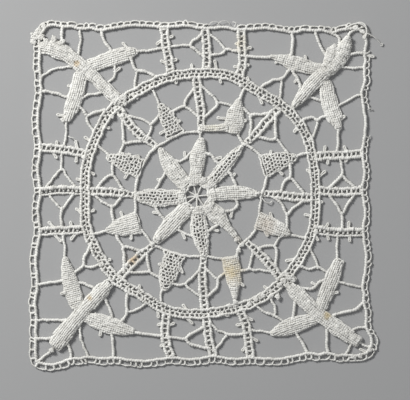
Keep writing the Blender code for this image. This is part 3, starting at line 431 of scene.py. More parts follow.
# Picots, the small knotted loops that stand out from an edge: foot and tip
PICOTS = {
    "braid_outside": (
        ((-2.0, 49.0), (-2.0, 51.4)), ((7.4, 49.4), (6.8, 52.8)), ((19.9, 43.8), (19.3, 46.4)),
        ((-40.8, 21.2), (-43.4, 23.4)), ((-44.2, 6.6), (-46.8, 6.7)), ((-44.6, -6.2), (-46.8, -4.2)),
        ((-15.2, -43.4), (-14.8, -46.8)), ((-4.0, -46.6), (-1.4, -48.9)), ((8.6, -45.0), (12.6, -45.6)),
        ((46.6, 7.6), (49.6, 10.1)), ((45.6, -2.2), (48.5, -1.7)), ((45.0, -14.2), (46.8, -17.0)),
        ((30.8, -36.4), (31.4, -39.4)), ((36.4, -30.0), (38.2, -32.0)),
    ),
    "braid_inside": (
        ((-8.0, 46.0), (-8.0, 43.3)), ((8.6, 46.4), (9.1, 43.5)), ((-36.4, 27.2), (-33.3, 26.4)),
        ((-25.2, 39.6), (-22.6, 37.6)), ((38.8, 27.6), (37.4, 24.6)), ((23.6, 38.8), (25.1, 35.6)),
        ((-41.6, 10.0), (-39.3, 8.3)), ((-42.0, -6.0), (-39.2, -5.0)), ((-3.6, -44.0), (-5.5, -41.1)),
        ((-22.6, -36.8), (-22.0, -33.6)), ((-35.8, -24.2), (-32.9, -24.2)), ((44.2, 8.6), (42.0, 10.8)),
        ((43.6, -7.2), (41.0, -6.6)), ((38.8, -23.6), (33.8, -24.6)), ((28.6, -36.2), (25.4, -34.4)),
    ),
    "ladders": (
        ((-11.4, 61.2), (-8.9, 61.9)), ((-13.2, 60.8), (-15.9, 58.6)), ((-11.8, 51.4), (-14.2, 52.7)),
        ((-10.2, 51.8), (-7.6, 53.2)), ((16.0, 58.8), (14.4, 58.9)), ((18.2, 56.8), (21.1, 57.7)),
        ((17.0, 49.6), (13.8, 50.3)), ((18.0, 50.2), (20.2, 51.0)), ((48.8, 16.8), (49.4, 19.9)),
        ((57.5, 17.2), (56.5, 19.9)), ((50.4, 14.8), (50.2, 12.3)), ((58.0, 15.4), (57.0, 13.2)),
        ((49.4, -12.2), (50.6, -9.8)), ((58.3, -12.4), (58.3, -9.2)), ((50.0, -14.0), (50.8, -16.8)),
        ((58.6, -14.6), (58.6, -17.5)), ((-12.8, -48.4), (-15.6, -49.4)), ((-11.2, -49.5), (-8.4, -48.6)),
        ((-12.4, -56.0), (-14.3, -57.9)), ((17.8, -48.8), (14.8, -49.4)), ((19.4, -46.4), (21.6, -47.6)),
        ((18.8, -57.2), (17.2, -59.5)), ((20.8, -54.0), (23.6, -55.6)), ((-55.0, -11.8), (-57.4, -9.4)),
        ((-48.2, -11.6), (-48.9, -9.3)), ((-54.8, -14.6), (-52.2, -17.4)), ((-46.8, -14.2), (-48.9, -16.7)),
        ((-54.0, 19.6), (-54.0, 21.8)), ((-46.2, 18.8), (-47.0, 22.0)), ((-55.6, 17.4), (-54.0, 14.6)),
        ((-46.4, 16.0), (-46.5, 13.1)),
    ),
    "bells_and_star": (
        ((10.8, 30.2), (7.4, 30.4)), ((17.2, 28.4), (19.0, 30.0)), ((-8.4, 29.2), (-6.1, 29.3)),
        ((-12.0, 25.6), (-14.7, 24.2)), ((-25.4, 15.4), (-22.0, 15.9)), ((-26.6, 9.2), (-28.0, 6.8)),
        ((-28.6, -8.0), (-29.6, -5.4)), ((-25.4, -13.6), (-25.2, -16.6)), ((-12.4, -25.8), (-15.2, -25.8)),
        ((-6.8, -26.2), (-5.5, -29.6)), ((16.2, -32.6), (18.0, -34.6)), ((29.0, -8.4), (27.9, -5.8)),
        ((25.6, -12.6), (27.4, -15.4)), ((28.2, 16.0), (28.6, 18.2)), ((30.8, 10.6), (33.1, 8.3)),
        ((-4.6, 14.9), (-5.0, 17.7)), ((6.4, 14.6), (9.8, 15.1)), ((13.4, 7.8), (14.9, 9.2)),
        ((13.6, -5.0), (12.8, -8.1)), ((5.6, -12.3), (8.5, -13.3)), ((-5.8, -13.6), (-4.4, -16.4)),
        ((-14.8, -6.2), (-17.4, -5.8)), ((-14.4, 5.8), (-15.4, 7.2)),
    ),
    "corner_flowers": (
        ((-26.8, 57.4), (-29.0, 59.4)), ((-48.2, 42.4), (-50.2, 42.8)), ((-51.0, 31.2), (-54.2, 31.6)),
        ((-31.8, 48.0), (-29.4, 50.0)), ((41.8, 52.2), (41.7, 54.8)), ((31.2, 52.6), (29.9, 51.3)),
        ((55.2, 29.8), (57.1, 31.3)), ((38.6, 45.6), (37.3, 43.7)), ((-37.0, -51.0), (-37.3, -53.8)),
        ((-50.8, -37.4), (-52.8, -37.1)), ((51.8, -37.2), (54.6, -36.7)), ((45.6, -33.8), (43.7, -32.7)),
        ((55.6, -26.4), (56.4, -24.4)), ((54.4, 56.6), (54.6, 58.8)), ((65.4, -59.8), (62.2, -58.4)),
        ((64.6, 54.8), (68.4, 53.8)),
    ),
}

# Threads of the star's eye, in degrees from +X
EYE_TURNS = (4, 65, 106, 150, 188, 216, 270, 306)

# Lumps of thread where parts are sewn together: the middle of each one, its radius and its height
KNOTS = {
    "star": (
        (-2.3, 7.2, 1.5, 1.2), (2.5, 6.4, 1.6, 1.2), (4.7, 4.3, 1.6, 1.25), (6.0, 2.4, 1.2, 1.2),
        (-5.4, 3.4, 1.4, 1.2), (5.2, -3.4, 1.3, 1.2), (-3.2, -5.6, 1.3, 1.2), (9.9, -5.4, 1.2, 1.0),
        (-15.0, -15.8, 1.6, 1.35), (-17.0, -17.9, 1.1, 0.9), (14.9, -16.6, 0.8, 0.9),
        (17.2, -18.4, 1.1, 0.8), (16.0, -20.6, 1.0, 0.8),
    ),
    "braid": (
        (-28.5, 38.2, 1.8, 1.6), (-31.1, 39.2, 1.6, 1.6), (-27.8, 36.2, 1.3, 1.3), (-33.0, 30.8, 1.1, 1.2),
        (33.9, -29.6, 1.6, 1.2), (36.6, -31.8, 1.6, 1.3), (34.6, -34.0, 1.4, 1.2), (33.2, -32.0, 1.5, 1.3),
        (35.2, -31.1, 1.7, 1.5), (31.8, -33.6, 1.2, 1.1), (19.8, -41.3, 1.2, 1.0), (-30.2, 37.0, 1.6, 1.5),
        (28.4, -38.0, 1.2, 1.0), (30.9, -38.4, 1.1, 1.0), (14.6, -40.6, 1.2, 1.0), (12.4, -41.8, 1.1, 0.9),
        (22.6, -39.4, 1.2, 1.0), (25.2, -37.9, 1.2, 1.0),
        (-11.8, 47.2, 1.0, 1.0), (16.8, 42.8, 1.0, 1.0), (45.8, -13.4, 1.0, 1.0), (-43.4, 15.2, 1.0, 1.0),
    ),
    "corners": (
        (-62.3, 61.8, 2.1, 0.9), (-60.9, 64.0, 1.9, 0.9), (-63.0, 59.8, 1.5, 0.8), (-60.2, 61.6, 1.5, 1.0),
        (-59.0, 65.6, 1.3, 0.8), (-58.0, 60.0, 1.7, 1.5), (-55.2, 60.5, 1.6, 1.5), (-52.0, 59.6, 1.5, 1.5),
        (50.9, 56.2, 1.4, 1.5), (52.6, 57.8, 1.4, 1.5), (54.3, 56.8, 1.1, 1.5), (61.0, 65.0, 1.4, 0.9),
        (63.8, 63.6, 1.1, 0.9), (64.4, 61.4, 0.9, 0.9), (66.4, -58.8, 1.1, 0.9), (62.8, -61.2, 1.1, 0.8),
        (59.8, -61.6, 1.0, 0.8), (-56.0, -58.9, 1.3, 1.2), (-50.9, -36.9, 1.0, 1.0), (-51.6, 29.6, 1.0, 1.0),
    ),
}

# Loose ends of thread, with their heights, and the thread's radius
LOOSE_ENDS = (
    (((64.0, 63.2, 0.8), (66.0, 62.6, 1.6), (68.4, 61.2, 1.2), (70.6, 59.2, 0.5)), 0.16),
    (((70.6, 59.2, 0.5), (71.3, 58.9, 0.5), (71.2, 58.2, 0.4), (70.5, 58.4, 0.5)), 0.2),
    (((4.4, 66.0, 0.8), (5.6, 67.2, 1.2), (7.4, 67.5, 0.8), (8.6, 66.6, 0.5)), 0.16),
    (((7.6, 66.1, 0.8), (9.2, 67.5, 1.4), (11.4, 67.6, 0.9), (12.6, 66.4, 0.6)), 0.13),
    (((14.2, 65.4, 0.8), (14.9, 66.9, 1.0), (13.6, 67.4, 0.7)), 0.16),
    (((24.9, -0.4, 0.9), (26.2, -1.8, 1.3), (27.7, -2.4, 1.0), (28.9, -1.5, 0.6)), 0.2),
    (((-49.6, 23.4, 0.9), (-48.6, 22.9, 1.3), (-47.4, 22.6, 0.9), (-46.9, 21.2, 0.5)), 0.2),
    (((64.8, 23.4, 0.8), (65.9, 22.9, 1.0), (66.6, 23.8, 0.6)), 0.16),
    (((65.6, 33.6, 0.8), (66.6, 34.2, 1.0), (67.2, 33.4, 0.6)), 0.16),
    (((56.4, 64.4, 0.8), (59.6, 66.3, 1.2), (62.6, 66.6, 1.4), (65.0, 65.0, 1.1), (65.8, 61.8, 0.8)), 0.34),
    (((59.2, 64.6, 0.9), (61.8, 67.0, 0.9), (64.4, 66.4, 1.0), (65.2, 63.4, 1.4), (64.4, 60.6, 1.0)), 0.3),
)

STAINS = (
    Stain((-46.2, 51.3), 1.7, (0.62, 0.37, 0.05), 1.0),
    Stain((-41.2, -38.8), 1.9, (0.60, 0.38, 0.08), 0.85),
    Stain((49.8, -45.8), 1.9, (0.60, 0.43, 0.10), 0.80),
    Stain((27.0, -11.0), 5.0, (0.52, 0.41, 0.29), 0.45),
    Stain((13.2, -29.5), 6.0, (0.70, 0.54, 0.22), 0.55),
    Stain((-25.0, -24.0), 2.4, (0.62, 0.40, 0.16), 0.60),
    Stain((15.5, 59.0), 5.0, (0.64, 0.52, 0.28), 0.30),
    Stain((6.4, 26.5), 4.2, (0.66, 0.60, 0.40), 0.35),
    Stain((15.8, -16.3), 3.0, (0.34, 0.29, 0.22), 0.45),
)


@dataclass(frozen=True)
class Thread:
    """A worked thread. Its grooves and slubs are shares of its radius, and its slant is in turns round it."""

    radius: float
    stitch: float = 0.8
    groove: float = 0.28
    slub: float = 0.06
    slant: float = 1.0


BAR_THREAD = Thread(0.69, 1.0, 0.36, 0.09)
CORD_THREAD = Thread(0.55, 0.95, 0.36, 0.14)
BRAID_CORD = Thread(0.59, 0.95, 0.34, 0.14)
FINE_CORD = Thread(0.31, 0.92, 0.3, 0.13)
RUNG_THREAD = Thread(0.44, 1.0, 0.2, 0.1)
LOOP_THREAD = Thread(0.31, 0.75, 0.3, 0.16)
RIM_THREAD = Thread(0.40, 0.77, 0.34, 0.12)
OPEN_RIM_THREAD = Thread(0.44, 0.8, 0.32, 0.1)
CLOTH_THREAD = Thread(0.57, 0.88, 0.38, 0.06, 0.32)
NET_THREAD = Thread(0.34, 0.70, 0.28, 0.1)
PICOT_THREAD = Thread(0.35, 0.66, 0.22)
EYE_THREAD = Thread(0.29, 0.66, 0.2)
KNOT_THREAD = Thread(0.38, 0.72, 0.3, 0.12)
RINGS = 3  # places in each stitch


def smooth_through(points: np.ndarray, steps: int, closed: bool = False) -> np.ndarray:
    """Finds points of a smooth curve that passes the given ones.

    Args:
        points: The given points, one in a row, of any number of values.
        steps: How many steps there are between two given points.
        closed: Whether the curve comes back to its first point.

    Returns:
        The curve's points, one in a row. A closed curve ends on its first point.
    """
    given = np.asarray(points, float)
    if closed:
        padded = np.concatenate([given[-1:], given, given[:2]])
    else:
        padded = np.concatenate([2 * given[:1] - given[1:2], given, 2 * given[-1:] - given[-2:-1]])
    a, b, c, d = (padded[i:len(padded) - 3 + i, None, :] for i in range(4))
    t = np.linspace(0, 1, steps, endpoint=False)[None, :, None]
    curve = (2 * b + (c - a) * t + (2 * a - 5 * b + 4 * c - d) * t**2 + (3 * b - a - 3 * c + d) * t**3) / 2
    last = given[:1] if closed else given[-1:]
    return np.concatenate([curve.reshape(-1, given.shape[1]), last])


def runs_of(inside: np.ndarray) -> list[slice]:
    """Finds the unbroken runs of true values.

    Args:
        inside: True and false values in a row.

    Returns:
        A slice for each run of two or more.
    """
    edges = np.flatnonzero(np.diff(np.concatenate([[0], inside.astype(int), [0]])))
    return [slice(start, end) for start, end in zip(edges[::2], edges[1::2]) if end - start > 1]


def directions(turns: np.ndarray) -> np.ndarray:
    """Steps of length one at these angles, one in a row."""
    return np.stack([np.cos(turns), np.sin(turns)], axis=1)


class Line:
    """A smooth line seen from above, measured along its length."""

    STEPS = 16
    PROBE = 0.1  # how far ahead and behind a place the line's direction is taken

    def __init__(self, points: np.ndarray | Points, closed: bool = False) -> None:
        """Draws the line through its points.

        Args:
            points: The points that the line passes.
            closed: Whether it comes back to its first point.
        """
        self.closed = closed
        self.points = smooth_through(np.asarray(points, float), self.STEPS, closed)
        steps = np.linalg.norm(np.diff(self.points, axis=0), axis=1)
        self.marks = np.concatenate([[0.0], np.cumsum(steps)])
        self.length = float(self.marks[-1])

    def _plain(self, distances: np.ndarray) -> np.ndarray:
        """The points at these distances along the line.

        Args:
            distances: How far along the line each place is.

        Returns:
            The places, one in a row.
        """
        if self.closed:
            distances = distances % self.length
        return np.stack([np.interp(distances, self.marks, self.points[:, i]) for i in (0, 1)], axis=1)

    def at(self, distances: Numbers, offsets: Numbers = 0.0) -> np.ndarray:
        """Finds places beside the line.

        Args:
            distances: How far along the line each place is.
            offsets: How far to the left of the line it is.

        Returns:
            The places, one in a row.
        """
        distances = np.atleast_1d(np.asarray(distances, float))
        low, high = (-np.inf, np.inf) if self.closed else (0.0, self.length)
        ahead = self._plain(np.clip(distances + self.PROBE, low, high))
        behind = self._plain(np.clip(distances - self.PROBE, low, high))
        along = (ahead - behind) / np.linalg.norm(ahead - behind, axis=1, keepdims=True)
        left = np.stack([-along[:, 1], along[:, 0]], axis=1)
        return self._plain(distances) + left * np.broadcast_to(offsets, distances.shape)[:, None]

    def stitches(self, length: float) -> np.ndarray:
        """Divides the line into stitches.

        Args:
            length: About how long a stitch is.

        Returns:
            The distances along the line of the places in its stitches.
        """
        count = RINGS * max(1, round(self.length / length))
        return np.linspace(0, self.length, count + (not self.closed), endpoint=not self.closed)


@dataclass
class Laid:
    """A thread as it is laid: its places, its radius and how many stitches there are up to each place."""

    places: np.ndarray
    radii: np.ndarray
    stitches: np.ndarray
    groove: float
    slant: float
    closed: bool


class Skein:
    """Threads that are gathered and become one mesh."""

    LIFT = 0.04  # how far above the surface the lowest threads are
    SHORTEST_WAVE = 0.35  # as a share of the longest one
    SLUB_SHARE = 0.7
    SLUB_WAVE = 6.0
    STRAY_SHARE = 0.4
    STRAY_WAVE = 8.0

    def __init__(self, seed: int, sides: int = 8, tall: float = 1.0) -> None:
        """Starts without a thread.

        Args:
            seed: The seed of the threads' small irregularities.
            sides: How many sides a thread's section has.
            tall: How tall a section is, as a share of its width.
        """
        self.chance = np.random.default_rng(seed)
        self.sides = sides
        self.tall = tall
        self.threads: list[Laid] = []

    def waver(self, distances: np.ndarray, size: float, longest: float = 13.0,
              around: float | None = None) -> np.ndarray:
        """Makes the slow unevenness of handwork.

        Args:
            distances: How far along the thread each place is.
            size: The size of the unevenness.
            longest: The length of its longest wave.
            around: The thread's length, where its end joins its start.

        Returns:
            How far each place strays.
        """
        turns = self.chance.uniform(0, 2 * np.pi, 2)
        waves = self.chance.uniform(longest * self.SHORTEST_WAVE, longest, 2)
        if around is not None:
            waves = around / np.ceil(around / waves)
        return size * sum(np.sin(2 * np.pi * distances / wave + turn) for wave, turn in zip(waves, turns))

    def lay(self, path: np.ndarray, heights: Numbers | None, thread: Thread, closed: bool = False,
            stitches: np.ndarray | None = None, radii: Numbers | None = None, slant: float = 1.0) -> None:
        """Adds a thread.

        Args:
            path: Its places seen from above.
            heights: The heights of its middle, or None where it lies on the surface.
            thread: How it is worked.
            closed: Whether its end joins its start.
            stitches: The number of stitches up to each place, where they don't simply count up.
            radii: Its radius, where that isn't the thread's own.
            slant: What the thread's slant is multiplied by.
        """
        count = len(path)
        stitches = np.arange(count) / RINGS if stitches is None else stitches
        radii = np.full(count, thread.radius) if radii is None else radii * np.ones(count)
        heights = radii * self.tall + self.LIFT if heights is None else heights
        slub = thread.slub * self.SLUB_SHARE
        slubs = self.chance.normal(0, slub, count)
        if not closed:
            slubs += self.waver(stitches * thread.stitch, slub, self.SLUB_WAVE)
        radii = radii * (1 + slubs)
        places = np.empty((count, 3))
        places[:, :2] = path
        places[:, 2] = np.maximum(np.asarray(heights) / self.tall, radii + self.LIFT)
        self.threads.append(Laid(places, radii, stitches, thread.groove, thread.slant * slant, closed))

    def lay_along(self, line: Line, thread: Thread, offsets: float = 0.0, heights: float | None = None,
                  waver: float = 0.07, swell: float = 0.0) -> None:
        """Adds a thread that follows a line from end to end.

        Args:
            line: The line.
            thread: How it is worked.
            offsets: How far to the left of the line it is.
            heights: The height of its middle, or None where it lies on the surface.
            waver: How far it strays from side to side.
            swell: How much thinner it is where it starts, and thicker half way, as a share of its radius.
        """
        distances = line.stitches(thread.stitch)
        strays = self.chance.normal(0, waver * self.STRAY_SHARE, len(distances))
        strays += self.waver(distances, waver, self.STRAY_WAVE, line.length if line.closed else None)
        radii = thread.radius * (1 - swell * np.cos(2 * np.pi * distances / line.length))
        self.lay(line.at(distances, offsets + strays), heights, thread, line.closed, radii=radii)

    def lay_between(self, start: np.ndarray, end: np.ndarray, thread: Thread, heights: float | None = None,
                    uneven: float = 0.0) -> None:
        """Adds a short straight thread between two places.

        Args:
            start: The one place.
            end: The other place.
            thread: How it is worked.
            heights: The height of its middle, or None where it lies on the surface.
            uneven: How much thicker or thinner than the others it may be, as a share of its radius.
        """
        count = RINGS * max(1, round(float(np.linalg.norm(end - start)) / thread.stitch)) + 1
        radius = thread.radius * (1 + self.chance.uniform(-uneven, uneven))
        self.lay(np.linspace(start, end, count), heights, thread, radii=radius)

    def mesh(self) -> tuple[bpy.types.Mesh, np.ndarray]:
        """Makes the threads one mesh of tubes with open ends, and works their stitches.

        Returns:
            The mesh, in metres, and how deep in a groove each of its vertices is, from zero to one.
        """
        curve = bpy.data.curves.new("skein", "CURVE")
        curve.dimensions = "3D"
        curve.twist_mode = "Z_UP"
        curve.bevel_depth = MM
        curve.bevel_resolution = (self.sides - 4) // 2
        for laid in self.threads:
            spline = curve.splines.new("POLY")
            spline.points.add(len(laid.places) - 1)
            corners = np.ones((len(laid.places), 4))
            corners[:, :3] = laid.places * MM
            spline.points.foreach_set("co", corners.ravel())
            spline.points.foreach_set("radius", laid.radii)
            spline.use_cyclic_u = laid.closed
        holder = bpy.data.objects.new("skein", curve)
        mesh = bpy.data.meshes.new_from_object(holder)
        bpy.data.objects.remove(holder)
        bpy.data.curves.remove(curve)
        middles = np.concatenate([laid.places for laid in self.threads])[:, None, :] * MM
        depths = np.concatenate([self._depths(laid) for laid in self.threads])
        grooves = np.concatenate([np.full(len(laid.places), laid.groove) for laid in self.threads])
        corners = np.empty(len(mesh.vertices) * 3)
        mesh.vertices.foreach_get("co", corners)
        corners = corners.reshape(len(middles), self.sides, 3)
        corners = middles + (corners - middles) * (1 - depths * grooves[:, None])[:, :, None]
        mesh.vertices.foreach_set("co", corners.ravel())
        mesh.transform(Matrix.Diagonal((1, 1, self.tall, 1)))
        return mesh, depths.ravel()

    def _depths(self, laid: Laid) -> np.ndarray:
        """How deep in a groove each corner of each of a thread's places is, from zero to one."""
        turns = laid.stitches[:, None] + laid.slant * np.arange(self.sides)[None, :] / self.sides
        return 0.5 - 0.5 * np.cos(2 * np.pi * turns)


class LeafShape:
    """A leaf's outline and crown, ready for its rows."""

    STEPS = 8  # from one given width to the next
    NARROWEST = 0.3
    FOLD = 3.3
    FOLD_SLANT = 0.35
    RIM_PLACES = 11
    NARROWEST_RIM = 0.2
    WIDE_END = 1.6
    BULGES = (0.4, 0.05)  # of narrow and of wide ends, as shares of their half width

    def __init__(self, leaf: Leaf, rim: float, crown: float) -> None:
        """Measures the leaf.

        Args:
            leaf: The leaf.
            rim: The height of its top at its rim.
            crown: The height of its top along its middle.
        """
        self.leaf = leaf
        self.rim = rim
        self.crown = crown
        self.line = Line(leaf.middle)
        halves = smooth_through(np.array(leaf.widths)[:, None] / 2, self.STEPS)[:, 0]
        self.halves = np.maximum(halves, self.NARROWEST)
        self.marks = np.linspace(0, self.line.length, len(halves))

    def half(self, distances: Numbers) -> np.ndarray:
        """The half width at these distances along the leaf."""
        return np.interp(distances, self.marks, self.halves)

    def top(self, distances: np.ndarray, offsets: np.ndarray) -> np.ndarray:
        """The height of the leaf's top at these places.

        Args:
            distances: How far along the leaf each place is.
            offsets: How far to the left of its middle line it is.

        Returns:
            The height of each place.
        """
        share = np.clip(np.abs(offsets) / self.half(distances), 0, 1)
        folds = self.leaf.folds * np.sin(2 * np.pi * (distances + self.FOLD_SLANT * offsets) / self.FOLD)
        return self.rim + folds + (self.crown - self.rim) * (1 - share**2)

    def rows(self, pitch: float, step: float, edge: float) -> list[tuple[int, np.ndarray, np.ndarray]]:
        """Divides the leaf into rows.

        Args:
            pitch: How far apart the rows are.
            step: How far apart the places in a row are.
            edge: How far inside the outline a row ends.

        Returns:
            The number of each row, and its places' distances along the leaf and offsets to the left.
        """
        found = []
        if self.leaf.filling.runs_along:
            count = int((self.halves.max() - edge) / pitch)
            distances = np.arange(0, self.line.length, step)
            for number in range(-count, count + 1):
                offset = number * pitch
                for run in runs_of(abs(offset) <= self.half(distances) - edge):
                    found.append((number, distances[run], np.full(run.stop - run.start, offset)))
        else:
            for number, distance in enumerate(np.arange(pitch / 2, self.line.length, pitch)):
                count = int((self.half(distance) - edge) / step)
                if count > 0:
                    offsets = np.arange(-count, count + 1) * step
                    found.append((number, np.full(len(offsets), distance), offsets))
        return found

    def outline(self, inset: float) -> Line:
        """Finds the leaf's rim.

        Args:
            inset: How far inside the leaf's own outline the rim's middle is.

        Returns:
            A closed line that runs counter-clockwise, round at narrow ends and almost straight at wide ones.
        """
        distances = np.linspace(0, self.line.length, self.RIM_PLACES)
        halves = np.maximum(self.half(distances) - inset, self.NARROWEST_RIM)
        right = self.line.at(distances, -halves)
        left = self.line.at(distances, halves)[::-1]
        ends = self.line.at(distances[[0, -1]])
        step = self.line.at(distances[[1, -2]]) - ends
        bulge = np.where(halves[[0, -1]] < self.WIDE_END, *self.BULGES) * halves[[0, -1]]
        caps = ends - step / np.linalg.norm(step, axis=1, keepdims=True) * bulge[:, None]
        return Line(np.concatenate([caps[:1], right, caps[1:], left]), closed=True)


@dataclass
class Piece:
    """A part of the lace that becomes one mesh."""

    name: str
    seed: int

    def skeins(self) -> list[Skein]:
        """The piece's threads."""
        raise NotImplementedError

    def build(self, finish: bpy.types.Material) -> bpy.types.Object:
        """Makes the piece, and puts it on the lace.

        Args:
            finish: What it is made of.

        Returns:
            The piece.
        """
        whole = bmesh.new()
        depths = []
        for skein in self.skeins():
            mesh, depth = skein.mesh()
            whole.from_mesh(mesh)
            bpy.data.meshes.remove(mesh)
            depths.append(depth)
        bmesh.ops.holes_fill(whole, edges=[edge for edge in whole.edges if edge.is_boundary])
        bmesh.ops.recalc_face_normals(whole, faces=whole.faces)
        mesh = bpy.data.meshes.new(self.name)
        whole.to_mesh(mesh)
        whole.free()
        # the groove depth, which the material reads for its painted shade in the grooves
        mesh.attributes.new(GROOVE, "FLOAT", "POINT").data.foreach_set("value", np.concatenate(depths))
        mesh.shade_smooth()
        mesh.materials.append(finish)
        piece = bpy.data.objects.new(self.name, mesh)
        bpy.context.scene.collection.objects.link(piece)
        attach(piece, "root")
        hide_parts(NODE)
        triangles = sum(len(face.vertices) - 2 for face in mesh.polygons)
        log.info("%s: %d triangles", self.name, triangles)
        return piece


@dataclass
class Ground(Piece):
    """The round braid, the ladder braids and the bars, which hold everything else."""

    name: str = "ground"
    seed: int = 11
    bar_reach: float = 0.6  # how far a bar runs into what it meets
    braid_side: float = 1.52  # from the braid's middle cord to an outer one
    braid_rung: float = 1.8  # from one rung to the next
    braid_slant: float = 0.45  # how far a rung leans along the braid
    cord_swell: float = 0.1  # how much thinner on the right, and thicker on the left
    rung_thickness: float = 0.92  # as a share of the thread's, as rung_change is
    rung_change: float = 0.16
    ladder_rung: float = 1.72
    ladder_reach: float = 0.72  # from a ladder's middle to a rung's end
    ladder_stray: float = 0.11
    ladder_end: float = 0.6
    ladder_waver: tuple[float, float] = (0.09, 6.0)  # size and longest wave
    taper_from: float = 0.65  # the share of a ladder's length where it starts to narrow
    spoke_hole: float = 0.8
    bar_sizes: tuple[float, float] = (0.8, 1.08)  # thinnest and thickest, as shares of the thread's
    bar_tall: float = 0.82
    cord_tall: float = 1.05
    ladder_tall: float = 0.78
    band_height: float = 0.56
    uneven: float = 0.22
    stray: float = 0.2
    waver: float = 0.11

    def skeins(self) -> list[Skein]:
        """The bars, and the braids' cords and rungs."""
        bars = Skein(self.seed, tall=self.bar_tall)
        for rows in BARS.values():
            for points in rows:
                self._bar(bars, np.array(points))
        cords = Skein(self.seed + 1, tall=self.cord_tall)
        rungs = Skein(self.seed + 2, sides=6)
        self._round_braid(cords, rungs)
        thick = Skein(self.seed + 3, tall=self.ladder_tall)
        spokes = [Ladder(middle, last_width=width, hole=self.spoke_hole) for middle, width in SPOKES]
        for ladder in (*LADDERS, *spokes):
            self._ladder(ladder, thick, rungs)
        return [bars, cords, thick, rungs]

    def _bar(self, skein: Skein, points: np.ndarray) -> None:
        """Adds a bar, whose ends run a little way into what they meet.

        Args:
            skein: What the bar's thread is added to.
            points: The points that it passes.
        """
        ends = points[[0, -1]] - points[[1, -2]]
        ends /= np.linalg.norm(ends, axis=1, keepdims=True)
        points = points.copy()
        points[[0, -1]] += ends * self.bar_reach
        radius = BAR_THREAD.radius * skein.chance.uniform(*self.bar_sizes)
        skein.lay_along(Line(points), replace(BAR_THREAD, radius=radius))

    def _round_braid(self, cords: Skein, rungs: Skein) -> None:
        """Adds the braid round the star: three cords, and two rows of slanted rungs half a step apart.

        Args:
            cords: What its cords are added to.
            rungs: What its rungs are added to.
        """
        turns = np.linspace(0, 2 * np.pi, len(BRAID_RADII), endpoint=False)
        line = Line(directions(turns) * np.array(BRAID_RADII)[:, None], closed=True)
        left, right = self.braid_side, -self.braid_side
        for offset, thread in ((left, BRAID_CORD), (right, BRAID_CORD), (0.0, FINE_CORD)):
            cords.lay_along(line, thread, offset, self.band_height, self.waver, self.cord_swell)
        count = round(line.length / self.braid_rung)
        for offset, shift in ((left, 0.0), (right, 0.5)):
            distances = (np.arange(count) + shift) * line.length / count
            distances += rungs.chance.normal(0, self.stray, count)
            sizes = self.rung_thickness - self.rung_change * np.cos(distances / line.length * 2 * np.pi)
            outer_ends = line.at(distances + self.braid_slant, offset)
            for inner, outer, size in zip(line.at(distances), outer_ends, sizes):
                thread = replace(RUNG_THREAD, radius=RUNG_THREAD.radius * size)
                rungs.lay_between(inner, outer, thread, self.band_height, self.uneven)

    def _ladder(self, ladder: Ladder, cords: Skein, rungs: Skein) -> None:
        """Adds a ladder braid: two thick cords, and rungs between them.

        Args:
            ladder: The ladder braid.
            cords: What its cords are added to.
            rungs: What its rungs are added to.
        """
        line = Line(ladder.middle)
        distances = line.stitches(CORD_THREAD.stitch)
        widths = (ladder.first_width, ladder.first_width, ladder.last_width)
        halves = np.interp(distances / line.length, (0, self.taper_from, 1), widths) / 2
        hole = ladder.hole / 2
        for side in (1, -1):
            radii = (halves - side * ladder.shift - hole) / 2
            offsets = side * (halves - radii) + cords.waver(distances, *self.ladder_waver)
            cords.lay(line.at(distances, offsets), None, CORD_THREAD, radii=radii)
        count = max(2, round(line.length / self.ladder_rung))
        strays = rungs.chance.normal(0, self.ladder_stray, (count, 2))
        marks = np.linspace(self.ladder_end, line.length - self.ladder_end, count)
        for distance, stray in zip(marks, strays):
            places = line.at(distance + stray, self.ladder_reach * np.array([-1.0, 1.0]))
            rungs.lay_between(places[0], places[1], RUNG_THREAD, self.band_height, self.uneven)


